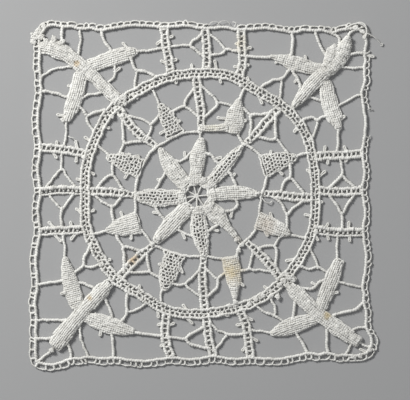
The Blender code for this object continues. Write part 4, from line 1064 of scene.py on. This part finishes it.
@dataclass
class Edging(Piece):
    """The border: a thick bar that bows out between its ties, with a row of small loops outside it."""

    name: str = "edging"
    seed: int = 21
    loop: float = 2.75  # how long a loop is
    unlike: tuple[float, float] = (0.4, 1.6)  # the flattest and the roundest loop, as shares
    inset: float = 0.22  # how much nearer than a side's own reach the loops start
    shift: float = 0.3  # how far loops are off their even places, as a share of one
    slant: float = 0.4  # how far a rung leans along the edge
    uneven: float = 0.28
    stray: float = 0.04
    bar_tall: float = 0.9
    loop_height: float = 0.52
    rung_height: float = 0.54

    def skeins(self) -> list[Skein]:
        """The bar, the cord outside it, and the rungs that make the cord's loops."""
        points, shapes = [], []
        ties = [(np.array(tie), side) for side in EDGE_SIDES for tie in side.ties]
        for i, (tie, side) in enumerate(ties):
            span = ties[(i + 1) % len(ties)][0] - tie
            points += [tie, tie + span / 2 + np.array((-span[1], span[0])) * side.bow]
            shapes += 2 * [(side.loops - self.inset, side.round)]
        line = Line(np.array(points), closed=True)
        stations = line.marks[::Line.STEPS]
        reaches, rounds = np.array([*shapes, shapes[0]]).T
        bar = Skein(self.seed, tall=self.bar_tall)
        bar.lay_along(line, BAR_THREAD)
        loops = Skein(self.seed + 1)
        rungs = Skein(self.seed + 2, sides=6)
        count = round(line.length / self.loop)
        shifts = rungs.chance.uniform(-self.shift, self.shift, count)
        marks = (np.arange(count) + shifts) * line.length / count
        distances = line.stitches(LOOP_THREAD.stitch)
        places_in_loops = np.interp(distances, [*marks, line.length + marks[0]], np.arange(count + 1))
        swells = loops.chance.uniform(*self.unlike, count + 2)[np.floor(places_in_loops).astype(int)]
        swells *= np.interp(distances, stations, rounds)
        away = np.interp(distances, stations, reaches) + swells * np.abs(np.sin(np.pi * places_in_loops))
        places = line.at(distances, away + loops.chance.normal(0, self.stray, len(distances)))
        kept = ~self._worn(places)
        start = int(np.flatnonzero(~kept)[0])
        places, kept = np.roll(places, -start, axis=0), np.roll(kept, -start)
        for run in runs_of(kept):
            loops.lay(places[run], self.loop_height, LOOP_THREAD)
        feet = line.at(marks + rungs.chance.normal(0, self.slant, count))
        tips = line.at(marks, np.interp(marks, stations, reaches))
        for foot, tip, gone in zip(feet, tips, self._worn(tips)):
            if not gone:
                rungs.lay_between(foot, tip, RUNG_THREAD, self.rung_height, self.uneven)
        return [bar, loops, rungs]

    @staticmethod
    def _worn(places: np.ndarray) -> np.ndarray:
        """Whether the loops at these places are worn away.

        Args:
            places: The places, one in a row.

        Returns:
            True or false for each place.
        """
        worn = np.zeros(len(places), bool)
        for side, low, high in WORN_LOOPS:
            out, along = places.T[::-1] if side is Side.TOP else places.T
            worn |= (out > WORN_SIDE) & (along > low) & (along < high)
        return worn


@dataclass
class Picots(Piece):
    """The small knotted loops that stand out from bars, braids and leaves."""

    name: str = "picots"
    seed: int = 31
    leg: float = 0.27  # from a picot's middle to a leg
    eye: float = 0.36  # from a picot's middle to the side of its eye
    root: float = 0.3  # how far a picot runs into what it stands on
    eye_from_tip: float = 0.7
    bend_from_tip: float = 0.25
    lean: float = 0.25
    height: float = 0.5
    waver: float = 0.03

    def skeins(self) -> list[Skein]:
        """A hairpin of thread for each picot."""
        skein = Skein(self.seed)
        for rows in PICOTS.values():
            for foot, tip in rows:
                self._picot(skein, np.array(foot), np.array(tip))
        return [skein]

    def _picot(self, skein: Skein, foot: np.ndarray, tip: np.ndarray) -> None:
        """Adds a hairpin of thread from the foot round the tip and back.

        Args:
            skein: What it is added to.
            foot: Where it starts and ends.
            tip: Where it turns.
        """
        length = float(np.linalg.norm(tip - foot))
        along = (tip - foot) / length
        side = np.array((-along[1], along[0]))
        lean = skein.chance.uniform(-self.lean, self.lean)
        profile = [(-self.root, self.leg), (length / 2, self.leg)]
        profile += [(length - self.eye_from_tip, self.eye), (length - self.bend_from_tip, 0.0)]
        profile += [(reach, -away) for reach, away in profile[-2::-1]]
        points = []
        for reach, away in profile:
            points.append(foot + along * reach + side * (away + lean * (reach / length) ** 2))
        skein.lay_along(Line(np.array(points)), PICOT_THREAD, heights=self.height, waver=self.waver)


@dataclass
class Leaves(Piece):
    """Leaves, petals or bells, each with its rows and the thread round its rim."""

    name: str = "leaves"
    seed: int = 41
    low: tuple[Leaf, ...] = ()
    raised: tuple[Leaf, ...] = ()
    cloth_row: float = 0.76
    net_row: float = 1.22
    net_link: float = 1.30
    low_rim: float = 1.1
    low_crown: float = 1.6
    raised_rim: float = 1.35
    raised_crown: float = 2.2
    cloth_tall: float = 0.9
    cloth_edge: float = 0.25  # how far inside the outline a row ends
    cloth_stray: float = 0.05
    cloth_waver: float = 0.06
    cloth_relief: float = 0.06  # how much higher or lower a stitch is than its neighbours
    cloth_shift: float = 0.18  # how far a row's stitches are off the next row's, in stitches
    pucker: float = 0.05
    puckers: int = 12
    pucker_waves: tuple[float, float] = (1.8, 5.0)
    net_tall: float = 1.2
    net_depth: float = 0.1  # how far a net and a rim lie below the leaf's top
    net_waver: tuple[float, float] = (0.13, 5.5)  # size and longest wave
    link_shift: float = 0.2
    link_stray: float = 0.16
    link_reach: float = 0.4  # how far outside the leaf a link may end
    link_uneven: float = 0.3
    rim_tall: float = 1.1
    rim_inset: float = 0.12
    rim_waver: float = 0.09
    band: float = 0.5  # how far inside the outline a net's second cord lies
    band_rise: float = 0.2
    band_waver: float = 0.12

    def skeins(self) -> list[Skein]:
        """The close rows, the nets and the rims."""
        cloth = Skein(self.seed, sides=6, tall=self.cloth_tall)
        net = Skein(self.seed + 1, sides=6, tall=self.net_tall)
        rims = Skein(self.seed + 2, tall=self.rim_tall)
        shapes = [LeafShape(leaf, self.low_rim, self.low_crown) for leaf in self.low]
        shapes += [LeafShape(leaf, self.raised_rim, self.raised_crown) for leaf in self.raised]
        for shape in shapes:
            if shape.leaf.filling.is_open:
                self._net(shape, net)
            else:
                self._cloth(shape, cloth)
            thread = OPEN_RIM_THREAD if shape.leaf.filling.is_open else RIM_THREAD
            height = shape.rim - self.net_depth - thread.radius * rims.tall
            rim = shape.outline(thread.radius - self.rim_inset)
            rims.lay_along(rim, thread, heights=height, waver=self.rim_waver)
            if shape.leaf.filling is Filling.OPEN_ALONG:
                band = shape.outline(thread.radius + self.band)
                rims.lay_along(band, thread, heights=height + self.band_rise, waver=self.band_waver)
        return [skein for skein in (cloth, net, rims) if skein.threads]

    def _cloth(self, shape: LeafShape, skein: Skein) -> None:
        """Adds close rows, whose stitches lie side by side and slant the other way in each next row.

        Args:
            shape: The leaf's shape.
            skein: What the rows are added to.
        """
        along = shape.leaf.filling.runs_along
        step = CLOTH_THREAD.stitch / RINGS
        for number, distances, offsets in shape.rows(self.cloth_row, step, self.cloth_edge):
            positions = distances if along else offsets
            strays = skein.chance.normal(0, self.cloth_stray, len(offsets))
            strays += skein.waver(positions, self.cloth_waver)
            if along:
                path = shape.line.at(distances, offsets + strays)
            else:
                path = shape.line.at(distances + strays, offsets)
            heights = shape.top(distances, offsets) + self._puckers(path) - CLOTH_THREAD.radius * skein.tall
            heights += skein.chance.normal(0, self.cloth_relief, len(offsets))
            stitches = positions / CLOTH_THREAD.stitch + skein.chance.normal(0, self.cloth_shift)
            skein.lay(path, heights, CLOTH_THREAD, stitches=stitches, slant=1 - 2 * (number % 2))

    def _puckers(self, places: np.ndarray) -> np.ndarray:
        """The small rises and dips of the cloth at these places.

        Args:
            places: The places, one in a row.

        Returns:
            How far the cloth rises at each place.
        """
        chance = np.random.default_rng(self.seed)
        turns, starts = chance.uniform(0, 2 * np.pi, (2, self.puckers))
        waves = chance.uniform(*self.pucker_waves, self.puckers)
        along = places @ np.array((np.cos(turns), np.sin(turns)))
        rises = np.sin(2 * np.pi * along / waves + starts).sum(axis=1)
        return self.pucker * rises / np.sqrt(self.puckers / 2)

    def _net(self, shape: LeafShape, skein: Skein) -> None:
        """Adds rows that are further apart, and links between them that are staggered from row to row.

        Args:
            shape: The leaf's shape.
            skein: What the rows and links are added to.
        """
        along = shape.leaf.filling.runs_along
        step = NET_THREAD.stitch / RINGS
        for number, distances, offsets in shape.rows(self.net_row, step, 0.0):
            heights = shape.top(distances, offsets) - self.net_depth - NET_THREAD.radius * skein.tall
            strays = skein.waver(distances + offsets, *self.net_waver)
            if along:
                path = shape.line.at(distances, offsets + strays)
            else:
                path = shape.line.at(np.clip(distances + strays, 0, shape.line.length), offsets)
            skein.lay(path, heights, NET_THREAD)
            positions = distances if along else offsets
            row = offsets[0] if along else distances[0]
            first = int(np.ceil(positions[0] / self.net_link)) - 1
            shift = 0.5 * (number % 2) + skein.chance.uniform(-self.link_shift, self.link_shift)
            for count in range(first, int(positions[-1] / self.net_link) + 2):
                position = (count + shift) * self.net_link + skein.chance.normal(0, self.link_stray)
                link = np.array(((position, row), (position, row + self.net_row)))
                self._link(shape, skein, link if along else link[:, ::-1])

    def _link(self, shape: LeafShape, skein: Skein, link: np.ndarray) -> None:
        """Adds a link of the net, where both of its ends are on the leaf.

        Args:
            shape: The leaf's shape.
            skein: What the link is added to.
            link: Its two ends: how far along the leaf, and how far to the left of its middle line.
        """
        distances, offsets = link[:, 0], link[:, 1]
        on_leaf = (distances >= 0) & (distances <= shape.line.length)
        if on_leaf.all() and (np.abs(offsets) <= shape.half(distances) + self.link_reach).all():
            ends = shape.line.at(distances, offsets)
            top = float(shape.top(distances, offsets).mean())
            height = top - self.net_depth - NET_THREAD.radius * skein.tall
            skein.lay_between(ends[0], ends[1], NET_THREAD, height, self.link_uneven)


@dataclass
class Star(Leaves):
    """The eight-petalled star, with the cloth round its eye and the threads across it."""

    name: str = "star"
    seed: int = 51
    low: tuple[Leaf, ...] = STAR_PETALS
    net_row: float = 1.2
    net_link: float = 1.36
    eye_middle: Point = (-0.15, 0.35)
    eye_rings: tuple[float, ...] = (4.55, 5.2, 5.9, 6.6)
    ring_tops: tuple[float, ...] = (1.35, 1.5, 1.35, 1.15)
    lumps: float = 0.22  # how far the rings round the eye stray
    lump_waves: tuple[float, float] = (6.0, 4.0)
    root_reach: tuple[float, float] = (0.9, 1.6)  # how far a root runs inwards and outwards
    root_widths: tuple[float, ...] = (4.4, 5.0, 5.4, 5.2, 4.4)
    root_rise: tuple[float, float] = (0.2, 0.1)
    eye_height: float = 0.62
    eye_uneven: float = 0.2
    knot_rings: tuple[float, ...] = (0.3, 0.62)
    knot_rise: float = 0.12

    def skeins(self) -> list[Skein]:
        """The petals, and the rings and threads of the eye."""
        rings = Skein(self.seed + 5, tall=self.cloth_tall)
        for number, (radius, top) in enumerate(zip(self.eye_rings, self.ring_tops)):
            self._ring(rings, radius, number, top - CORD_THREAD.radius * rings.tall, CORD_THREAD, self.lumps)
        roots = Skein(self.seed + 7, sides=6, tall=self.cloth_tall)
        rim, crown = self.low_rim + self.root_rise[0], self.low_crown + self.root_rise[1]
        for petal in self.low:
            self._cloth(LeafShape(self._root(petal), rim, crown), roots)
        wheel = Skein(self.seed + 6)
        middle = np.array(self.eye_middle)
        for turn in EYE_TURNS:
            out = np.array((np.cos(radians(turn)), np.sin(radians(turn))))
            start, end = middle + out * self.knot_rings[0], middle + out * self.eye_rings[0]
            wheel.lay_between(start, end, EYE_THREAD, self.eye_height, self.eye_uneven)
        for number, radius in enumerate(self.knot_rings):
            self._ring(wheel, radius, number, self.eye_height + self.knot_rise, EYE_THREAD, 0.0)
        return [*super().skeins(), rings, roots, wheel]

    def _root(self, petal: Leaf) -> Leaf:
        """The close cloth that joins a petal's root to the rim of the eye.

        Args:
            petal: The petal.

        Returns:
            The cloth's own shape.
        """
        foot = np.array(petal.middle[0])
        along = foot / np.linalg.norm(foot)
        middle = [tuple(foot + along * reach) for reach in (-self.root_reach[0], 0.0, self.root_reach[1])]
        return Leaf(tuple(middle), self.root_widths)

    def _ring(self, skein: Skein, radius: float, number: int, height: float, thread: Thread,
              lumps: float) -> None:
        """Adds a ring of thread round the eye.

        Args:
            skein: What it is added to.
            radius: The ring's radius.
            number: Which ring it is. Each next one's stitches start half a stitch on.
            height: The height of its middle.
            thread: How it is worked.
            lumps: How far it strays in and out.
        """
        around = 2 * np.pi * radius
        count = RINGS * max(3, round(around / thread.stitch))
        turns = np.arange(count) * 2 * np.pi / count
        strays = skein.chance.normal(0, lumps * Skein.STRAY_SHARE, count)
        strays += skein.waver(turns * radius, lumps, self.lump_waves[0], around)
        path = directions(turns) * (radius + strays)[:, None]
        heights = height + skein.waver(turns * radius, lumps / 2, self.lump_waves[1], around)
        stitches = np.arange(count) / RINGS + 0.5 * number
        skein.lay(path + self.eye_middle, heights, thread, closed=True, stitches=stitches)


@dataclass
class Knots(Piece):
    """Lumps of thread where the parts are sewn together."""

    name: str = "knots"
    seed: int = 131
    points: int = 7
    turn: int = 3  # how many points further on the next one is
    reach: tuple[float, float] = (0.5, 0.95)  # nearest and farthest point, as shares of the lump's radius
    tall: float = 1.1
    waver: float = 0.05

    def skeins(self) -> list[Skein]:
        """A tangle of thread for each lump."""
        skein = Skein(self.seed, sides=6, tall=self.tall)
        steps = np.arange(self.points) * self.turn * 2 * np.pi / self.points
        for rows in KNOTS.values():
            for x, y, size, height in rows:
                turns = steps + skein.chance.uniform(0, 6)
                reaches = size * skein.chance.uniform(*self.reach, self.points)
                line = Line(directions(turns) * reaches[:, None] + (x, y), closed=True)
                skein.lay_along(line, KNOT_THREAD, heights=height, waver=self.waver)
        return [skein]


@dataclass
class LooseThreads(Piece):
    """Ends of thread that have worked loose."""

    name: str = "loose_threads"
    seed: int = 61
    steps: int = 8
    groove: float = 0.15

    def skeins(self) -> list[Skein]:
        """A fine plain thread for each loose end."""
        skein = Skein(self.seed, sides=6)
        for points, radius in LOOSE_ENDS:
            bend = smooth_through(np.array(points), self.steps)
            skein.lay(bend[:, :2], bend[:, 2], Thread(radius, groove=self.groove))
        return [skein]


class Socket:
    """An output of a shader node, so that shader maths reads as plain expressions."""

    def __init__(self, nodes: "Nodes", link: bpy.types.NodeSocket) -> None:
        """Wraps the socket.

        Args:
            nodes: The material's nodes.
            link: The socket.
        """
        self.nodes = nodes
        self.link = link

    def _maths(self, operation: str, *values: Socket | float) -> Socket:
        """The output of a Math node."""
        return self.nodes.add("ShaderNodeMath", {"operation": operation}, dict(enumerate(values)))

    def __add__(self, other: Socket | float) -> Socket:
        """The sum."""
        return self._maths("ADD", self, other)

    __radd__ = __add__

    def __mul__(self, other: Socket | float) -> Socket:
        """The product."""
        return self._maths("MULTIPLY", self, other)

    __rmul__ = __mul__

    def __sub__(self, other: Socket | float) -> Socket:
        """The difference."""
        return self._maths("SUBTRACT", self, other)

    def __rsub__(self, other: Socket | float) -> Socket:
        """The difference the other way round."""
        return self._maths("SUBTRACT", other, self)

    def clamped(self) -> Socket:
        """The value, kept from zero to one."""
        return self._maths("MAXIMUM", self._maths("MINIMUM", self, 1.0), 0.0)


class Nodes:
    """The shader nodes of one material."""

    def __init__(self, name: str) -> None:
        """Starts a material with its shader.

        Args:
            name: The material's name.
        """
        self.material = bpy.data.materials.new(name)
        self.material.use_nodes = True
        self.tree = self.material.node_tree
        self.shader = self.tree.nodes["Principled BSDF"]

    def add(self, kind: str, settings: dict[str, object] | None = None,
            values: dict[int | str, object] | None = None, output: int | str = 0) -> Socket:
        """Adds a node.

        Args:
            kind: The node's type.
            settings: Its settings, which are set first.
            values: The values or links of its sockets.
            output: Which of its outputs is wanted.

        Returns:
            That output.
        """
        node = self.tree.nodes.new(kind)
        for key, value in (settings or {}).items():
            setattr(node, key, value)
        for key, value in (values or {}).items():
            self.feed(node.inputs[key], value)
        return Socket(self, node.outputs[output])

    def feed(self, socket: bpy.types.NodeSocket, value: object) -> None:
        """Gives a socket a value or a link.

        Args:
            socket: The socket.
            value: The value, or the output that is linked to it.
        """
        if isinstance(value, Socket):
            self.tree.links.new(value.link, socket)
        else:
            socket.default_value = value

    def mix(self, share: Socket | float, first: object, second: object, blend: str = "MIX") -> Socket:
        """Mixes two colours.

        Args:
            share: How much of the second one there is.
            first: The first colour.
            second: The second colour.
            blend: The way they are mixed.

        Returns:
            The mixed colour.
        """
        settings = {"data_type": "RGBA", "blend_type": blend}
        return self.add("ShaderNodeMix", settings, {0: share, 6: first, 7: second}, 2)

    def noise(self, place: Socket, size: float, detail: float = 2.0) -> Socket:
        """Makes a soft random pattern.

        Args:
            place: The coordinates that it is drawn on.
            size: The size of its patches, in millimetres.
            detail: How many finer patterns are laid over it.

        Returns:
            The pattern, from zero to one.
        """
        values = {"Vector": place, "Scale": 1 / (size * MM), "Detail": detail}
        return self.add("ShaderNodeTexNoise", None, values)


@dataclass(frozen=True)
class Linen:
    """Undyed linen thread, aged to a warm white, with soft stains.

    A pattern's size is in millimetres, and its share says how strongly it darkens the thread. The darkening
    in the grooves is painted shade, standing in for the shade that falls between the stitches.
    """

    name: str = SLOT
    light: Colour = (0.88, 0.87, 0.82, 1.0)
    dark: Colour = (0.53, 0.515, 0.47, 1.0)
    broad_size: float = 9.0
    broad_share: float = 1.1
    middling_size: float = 1.4
    middling_share: float = 1.3
    fibre_size: float = 0.16
    fibre_share: float = 0.9
    # painted shade: how strongly the thread is darkened deep in the grooves between its stitches
    groove_shade_share: float = 0.3
    base_share: float = 0.13
    stain_edges: tuple[float, float] = (1.2, 0.6)
    roughness: float = 0.86
    roughness_change: float = 0.2
    bump_strength: float = 0.5
    bump_height: float = 0.06
    sheen: float = 0.12
    specular: float = 0.25

    def material(self) -> bpy.types.Material:
        """Makes the thread's material."""
        nodes = Nodes(self.name)
        place = nodes.add("ShaderNodeTexCoord", output="Object")
        broad = nodes.noise(place, self.broad_size, 3.0)
        middling = nodes.noise(place, self.middling_size, 2.0)
        fibres = nodes.noise(place, self.fibre_size, 3.0)
        groove = nodes.add("ShaderNodeAttribute", {"attribute_name": GROOVE}, output="Fac")
        shade_and_tone = (broad - 0.5) * self.broad_share + (middling - 0.5) * self.middling_share
        # painted shade: the groove attribute darkens the thread where it lies deep between stitches, standing
        # in for the shade that falls there
        shade_and_tone = shade_and_tone + (fibres - 0.5) * self.fibre_share + groove * self.groove_shade_share + self.base_share
        colour = nodes.mix(shade_and_tone.clamped(), self.light, self.dark)
        for stain in STAINS:
            colour = self._stained(nodes, place, broad, middling, colour, stain)
        roughness = (fibres - 0.5) * self.roughness_change + self.roughness
        bumps = {"Strength": self.bump_strength, "Distance": self.bump_height * MM, "Height": fibres}
        nodes.feed(nodes.shader.inputs["Base Color"], colour)
        nodes.feed(nodes.shader.inputs["Roughness"], roughness.clamped())
        nodes.feed(nodes.shader.inputs["Normal"], nodes.add("ShaderNodeBump", None, bumps))
        nodes.feed(nodes.shader.inputs["Sheen Weight"], self.sheen)
        nodes.feed(nodes.shader.inputs["Specular IOR Level"], self.specular)
        return nodes.material

    def _stained(self, nodes: Nodes, place: Socket, broad: Socket, middling: Socket, colour: Socket,
                 stain: Stain) -> Socket:
        """Lays one soft-edged stain over a colour.

        Args:
            nodes: The material's nodes.
            place: The coordinates.
            broad: The broad pattern.
            middling: The middling pattern.
            colour: The colour.
            stain: The stain.

        Returns:
            The stained colour.
        """
        middle = (stain.middle[0] * MM, stain.middle[1] * MM, MM)
        away = nodes.add("ShaderNodeVectorMath", {"operation": "DISTANCE"}, {0: place, 1: middle}, "Value")
        share = 1 - away * (1 / (stain.radius * MM))
        share = share + (broad - 0.5) * self.stain_edges[0] + (middling - 0.5) * self.stain_edges[1]
        return nodes.mix(share.clamped() * stain.strength, colour, (*stain.colour, 1.0))


@dataclass(frozen=True)
class Studio:
    """The plain floor, the light and the camera. Places and sizes are in metres, but for the view's."""

    window_place: tuple[float, float, float] = (-0.52, 0.46, 0.50)
    window_size: float = 0.20
    window_power: float = 8.0
    fill_place: tuple[float, float, float] = (0.55, -0.35, 0.60)
    fill_size: float = 0.9
    fill_power: float = 1.0
    sky_colour: Colour = (0.9, 0.93, 1.0, 1.0)
    sky_strength: float = 0.20
    floor_size: float = 3.0
    floor_colour: Colour = (0.40, 0.40, 0.395, 1.0)
    floor_patch_colour: Colour = (0.34, 0.34, 0.335, 1.0)
    floor_patch_size: float = 40.0
    floor_patch_share: float = 0.06
    floor_roughness: float = 0.9
    view_middle: Point = (3.0, -1.16)
    view_width: float = 157.85
    lens: float = 200.0
    sensor: float = 36.0
    farthest: float = 10.0

    def build(self) -> bpy.types.Object:
        """Makes the floor, the lights and the camera.

        Returns:
            The floor.
        """
        self._light("window", self.window_place, self.window_size, self.window_power)
        self._light("fill", self.fill_place, self.fill_size, self.fill_power)
        self._sky()
        self._camera()
        return self._floor()

    def _floor(self) -> bpy.types.Object:
        """Makes the floor, whose top is at height zero."""
        nodes = Nodes("pale_floor")
        place = nodes.add("ShaderNodeTexCoord", output="Object")
        patches = nodes.noise(place, self.floor_patch_size) * self.floor_patch_share
        colour = nodes.mix(patches, self.floor_colour, self.floor_patch_colour)
        nodes.feed(nodes.shader.inputs["Base Color"], colour)
        nodes.feed(nodes.shader.inputs["Roughness"], self.floor_roughness)
        flat = bmesh.new()
        bmesh.ops.create_grid(flat, x_segments=1, y_segments=1, size=self.floor_size / 2)
        mesh = bpy.data.meshes.new("floor")
        flat.to_mesh(mesh)
        flat.free()
        mesh.materials.append(nodes.material)
        floor = bpy.data.objects.new("floor", mesh)
        bpy.context.scene.collection.objects.link(floor)
        return floor

    @staticmethod
    def _light(name: str, place: tuple[float, float, float], size: float, power: float) -> None:
        """Adds a square lamp that shines on the lace.

        Args:
            name: The lamp's name.
            place: Where it is.
            size: How wide it is.
            power: Its power, in watts.
        """
        lamp = bpy.data.lights.new(name, "AREA")
        lamp.size = size
        lamp.energy = power
        holder = bpy.data.objects.new(name, lamp)
        holder.location = place
        holder.rotation_euler = (-Vector(place)).to_track_quat("-Z", "Y").to_euler()
        bpy.context.scene.collection.objects.link(holder)

    def _sky(self) -> None:
        """Sets the even light from all round."""
        world = bpy.data.worlds.new("studio")
        world.use_nodes = True
        background = world.node_tree.nodes["Background"]
        background.inputs["Color"].default_value = self.sky_colour
        background.inputs["Strength"].default_value = self.sky_strength
        bpy.context.scene.world = world
        bpy.context.scene.view_settings.view_transform = "Standard"

    def _camera(self) -> None:
        """Sets the camera straight above the lace."""
        camera = bpy.data.cameras.new("camera")
        camera.lens = self.lens
        camera.sensor_width = self.sensor
        camera.sensor_fit = "HORIZONTAL"
        camera.clip_end = self.farthest
        height = self.view_width * self.lens / self.sensor
        holder = bpy.data.objects.new("camera", camera)
        holder.location = (self.view_middle[0] * MM, self.view_middle[1] * MM, height * MM)
        bpy.context.scene.collection.objects.link(holder)
        bpy.context.scene.camera = holder


def main() -> None:
    """Loads the frame, and builds the lace round it."""
    logging.basicConfig(level=logging.INFO, format="%(message)s")
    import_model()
    finish = Linen().material()
    floor = Studio().build()
    ground = Ground().build(finish)
    others = [Edging().build(finish), Picots().build(finish), Star().build(finish)]
    others.append(Leaves("bells", 71, BELLS + (STRAP,)).build(finish))
    for number, (corner, low) in enumerate(SIDE_LEAVES.items()):
        flower = Leaves("corner_flower_" + corner, 81 + 10 * number, low, DIAGONAL_LEAVES[corner])
        others.append(flower.build(finish))
    others += [Knots().build(finish), LooseThreads().build(finish)]


if __name__ == "__main__":
    main()
